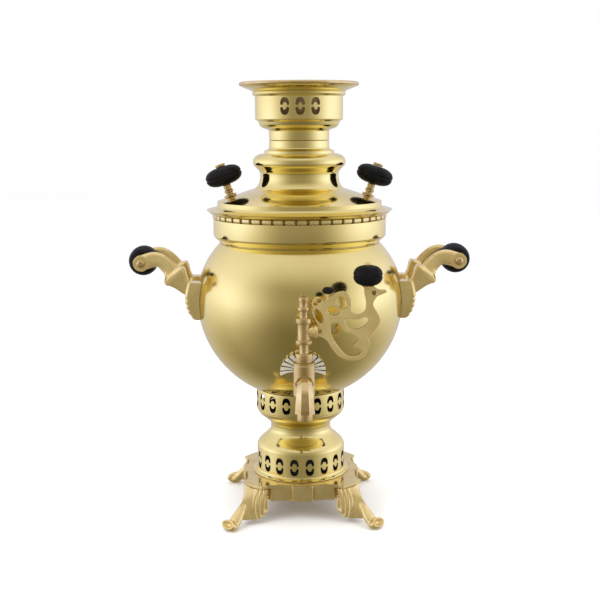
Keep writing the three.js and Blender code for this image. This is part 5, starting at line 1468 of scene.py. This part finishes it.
def key_lever():
    at = move(0, tap_y, lever_z)
    upright = at @ spin(pi / 2, "X")
    sideways = at @ spin(pi / 2, "Y")
    boss = revolved(rounded(BOSS_LINE, FINE_ROUND, False), SMALL_STEPS, sideways)
    head_z = lever_z + LEVER_RISE * HEAD_SHARE
    knob_at = move(LEVER_KNOB_PLACE, tap_y, head_z)
    cup = revolved(LEVER_CUP_LINE, SMALL_STEPS, knob_at)
    post = rod(THREAD_RADIUS, LEVER_CUP + KNOB_THICKNESS, knob_at @ move(0, 0, -LEVER_CUP))
    thumb_z = lever_z + LEVER_RISE * THUMB_RISE_SHARE
    thumb_foot = move(THUMB_PLACE, tap_y, thumb_z - THUMB_NECK_DEPTH)
    thumb_neck = rod(THUMB_NECK, THUMB_NECK_DEPTH + THUMB_HEIGHT / 2, thumb_foot)
    eye_at = bird_points([BIRD_OVALS[-1][0]])[0]
    # A thin floor closes the eye and is painted dark as the shade in a hole.
    eye_floor = rod(EYE_FLOOR_RADIUS, 2 * EYE_FLOOR_HALF, upright @ move(*eye_at, -EYE_FLOOR_HALF))
    reach = sum(height for _, height in KEY_STACK[:3])
    key_room = rod(KEY_STACK[1][0] + SEAT_GAP, reach, at @ move(0, 0, -reach / 2), TRIM_STEPS)
    tenon_hole = rod(TENON_RADIUS + SEAT_GAP, TENON_REACH + OVERRUN, sideways)
    lever = united(bird_plate(upright), boss, cup, post, thumb_neck, eye_floor)
    made = piece("key_lever", pared(lever, key_room, tenon_hole), CAST, 40, True)

    def shade_painted_faces(centre, normal):
        """The walls of the openwork and the floor of the eye, painted dark as shade."""
        within = abs(centre.y - tap_y)
        if abs(normal.y) > 0.9:
            return within < LEVER_THICKNESS * 0.3
        clear = BOSS_CLEAR < centre.x and centre.z < head_z - OVERRUN
        return clear and within < LEVER_THICKNESS / 2 and abs(normal.y) < 0.3

    # The openwork walls and the eye's floor get the dark brass as painted shade.
    recoated(made, DULL_AND_SHADE, shade_painted_faces)
    knob_at = knob_at @ move(0, 0, SEAT_GAP)
    piece("key_knob", knob(LEVER_KNOB_RADIUS, knob_at), BLACK, 50)
    screw_at = knob_at @ move(0, 0, KNOB_THICKNESS + SEAT_GAP)
    piece("key_knob_screw", screw_cap(KEY_SCREW_RADIUS, KEY_SCREW_HEIGHT, screw_at), CAST)
    socket = THUMB_HEIGHT / 2 + SEAT_GAP
    thumb = [(0.6, 0), (1, 0.3), (1, 0.65), (0.6, 1), (0, 1)]
    piece("key_thumb_knob", revolved(rounded([
        (0, socket), (THUMB_NECK + SEAT_GAP, socket), (THUMB_NECK + SEAT_GAP, 0),
        *[(out * THUMB_RADIUS, up * THUMB_HEIGHT) for out, up in thumb],
    ], THUMB_ROUND, False), SMALL_STEPS, move(THUMB_PLACE, tap_y, thumb_z + SEAT_GAP)), BLACK, 60)


# Stage
def light_world():
    """A pale studio: what the metal mirrors is dim in front and bright at both sides and above."""
    world = bpy.data.worlds.new("studio")
    bpy.context.scene.world = world
    world.use_nodes = True
    tree = world.node_tree
    out = tree.nodes["Background"]
    direction = tree.nodes.new("ShaderNodeTexCoord")
    parts = tree.nodes.new("ShaderNodeSeparateXYZ")
    tree.links.new(direction.outputs["Generated"], parts.inputs["Vector"])

    def reckoned(operation, *values):
        node = tree.nodes.new("ShaderNodeMath")
        node.operation = operation
        for socket, value in zip(node.inputs, values):
            if isinstance(value, (int, float)):
                socket.default_value = value
            else:
                tree.links.new(value, socket)
        return node.outputs["Value"]

    def eased(axis, start, end, low, high):
        return ranged(tree, parts.outputs[axis], low, high, start, end, "SMOOTHSTEP")

    sides = reckoned("MULTIPLY", reckoned("POWER", reckoned("ABSOLUTE", parts.outputs["X"]), 3.2), 0.95)
    total = reckoned("MULTIPLY", reckoned("ADD", sides, 0.36), eased("Z", -0.6, 0.1, 0.55, 1))
    total = reckoned("ADD", total, eased("Z", 0.35, 0.95, 0, 0.45))
    total = reckoned("ADD", total, eased("Y", 0.1, 0.9, 0, 0.35))
    tint = tree.nodes.new("ShaderNodeCombineColor")
    tint.inputs["Red"].default_value = 1
    for channel, start, rise in (("Green", 0.87, 0.14), ("Blue", 0.55, 0.75)):
        tree.links.new(reckoned("ADD", reckoned("MULTIPLY", total, rise), start), tint.inputs[channel])
    rays = tree.nodes.new("ShaderNodeLightPath")
    plain = reckoned("MAXIMUM", rays.outputs["Is Diffuse Ray"], rays.outputs["Is Camera Ray"])
    tree.links.new(mixed(tree, plain, tint.outputs["Color"], (1, 1, 1)), out.inputs["Color"])
    for ray, strength in (("Is Diffuse Ray", 1.15), ("Is Camera Ray", 1.0)):
        choose = tree.nodes.new("ShaderNodeMix")
        choose.data_type = "FLOAT"
        choose.inputs["B"].default_value = strength
        tree.links.new(rays.outputs[ray], choose.inputs["Factor"])
        tree.links.new(total, choose.inputs["A"])
        total = choose.outputs["Result"]
    tree.links.new(total, out.inputs["Strength"])


def floor():
    reach = 6
    mesh = bpy.data.meshes.new("floor")
    corners = [(-reach, -reach, 0), (reach, -reach, 0), (reach, reach, 0), (-reach, reach, 0)]
    mesh.from_pydata(corners, [], [(0, 1, 2, 3)])
    mesh.materials.append(nodes_of("pale_floor", 0.0, (0.93, 0.93, 0.92), 0.6)[0])
    made = shown("floor", mesh)
    made.location.z = -0.0002
    made.visible_glossy = False


def lamps():
    """Each has an azimuth in degrees, a height, a distance and a size in metres, and watts."""
    for name, azimuth, height, distance, size, power in (
        ("key", -50, 1.1, 1.5, 0.9, 14), ("fill", 55, 0.9, 1.6, 1.0, 9), ("top", 10, 1.9, 0.3, 1.2, 9),
    ):
        data = bpy.data.lights.new(name, "AREA")
        data.energy = power
        data.size = size
        lamp = shown(name, data)
        turn = radians(azimuth)
        lamp.location = AXIS + Vector((distance * sin(turn), -distance * cos(turn), height))
        aim = AXIS + Vector((0, 0, 0.22)) - lamp.location
        lamp.rotation_euler = aim.to_track_quat("-Z", "Y").to_euler()
        lamp.visible_camera = False
        lamp.visible_glossy = False


def camera():
    """Solved from the ellipses in the photograph."""
    turn, tilt, roll = radians(-1.6), radians(9.6), radians(-0.3)
    distance = 1.1679
    height = 0.438
    data = bpy.data.cameras.new("camera")
    data.lens = 63
    data.sensor_width = 36
    made = shown("camera", data)
    made.location = AXIS + Matrix.Rotation(turn, 3, "Z") @ Vector((0, -distance, height))
    made.rotation_euler = (spin(turn, "Z") @ spin(pi / 2 - tilt, "X") @ spin(roll, "Z")).to_euler()
    bpy.context.scene.camera = made


bpy.context.scene.view_settings.view_transform = "Standard"
for build in (
    camera, light_world, lamps, floor, base_plate, legs, pedestal, vent_ring, fire_tube, belly, neck_band,
    dentil_ring, lid, lid_knobs, crown, brackets, grips, fan, tap_body, nozzle, tap_key, key_lever,
):
    build()
painted("grate", IRON)
for small_node in ("tap_lock_washer", "tap_lock_nut", "plug_washer", "plug_nut"):
    painted(small_node, CAST)
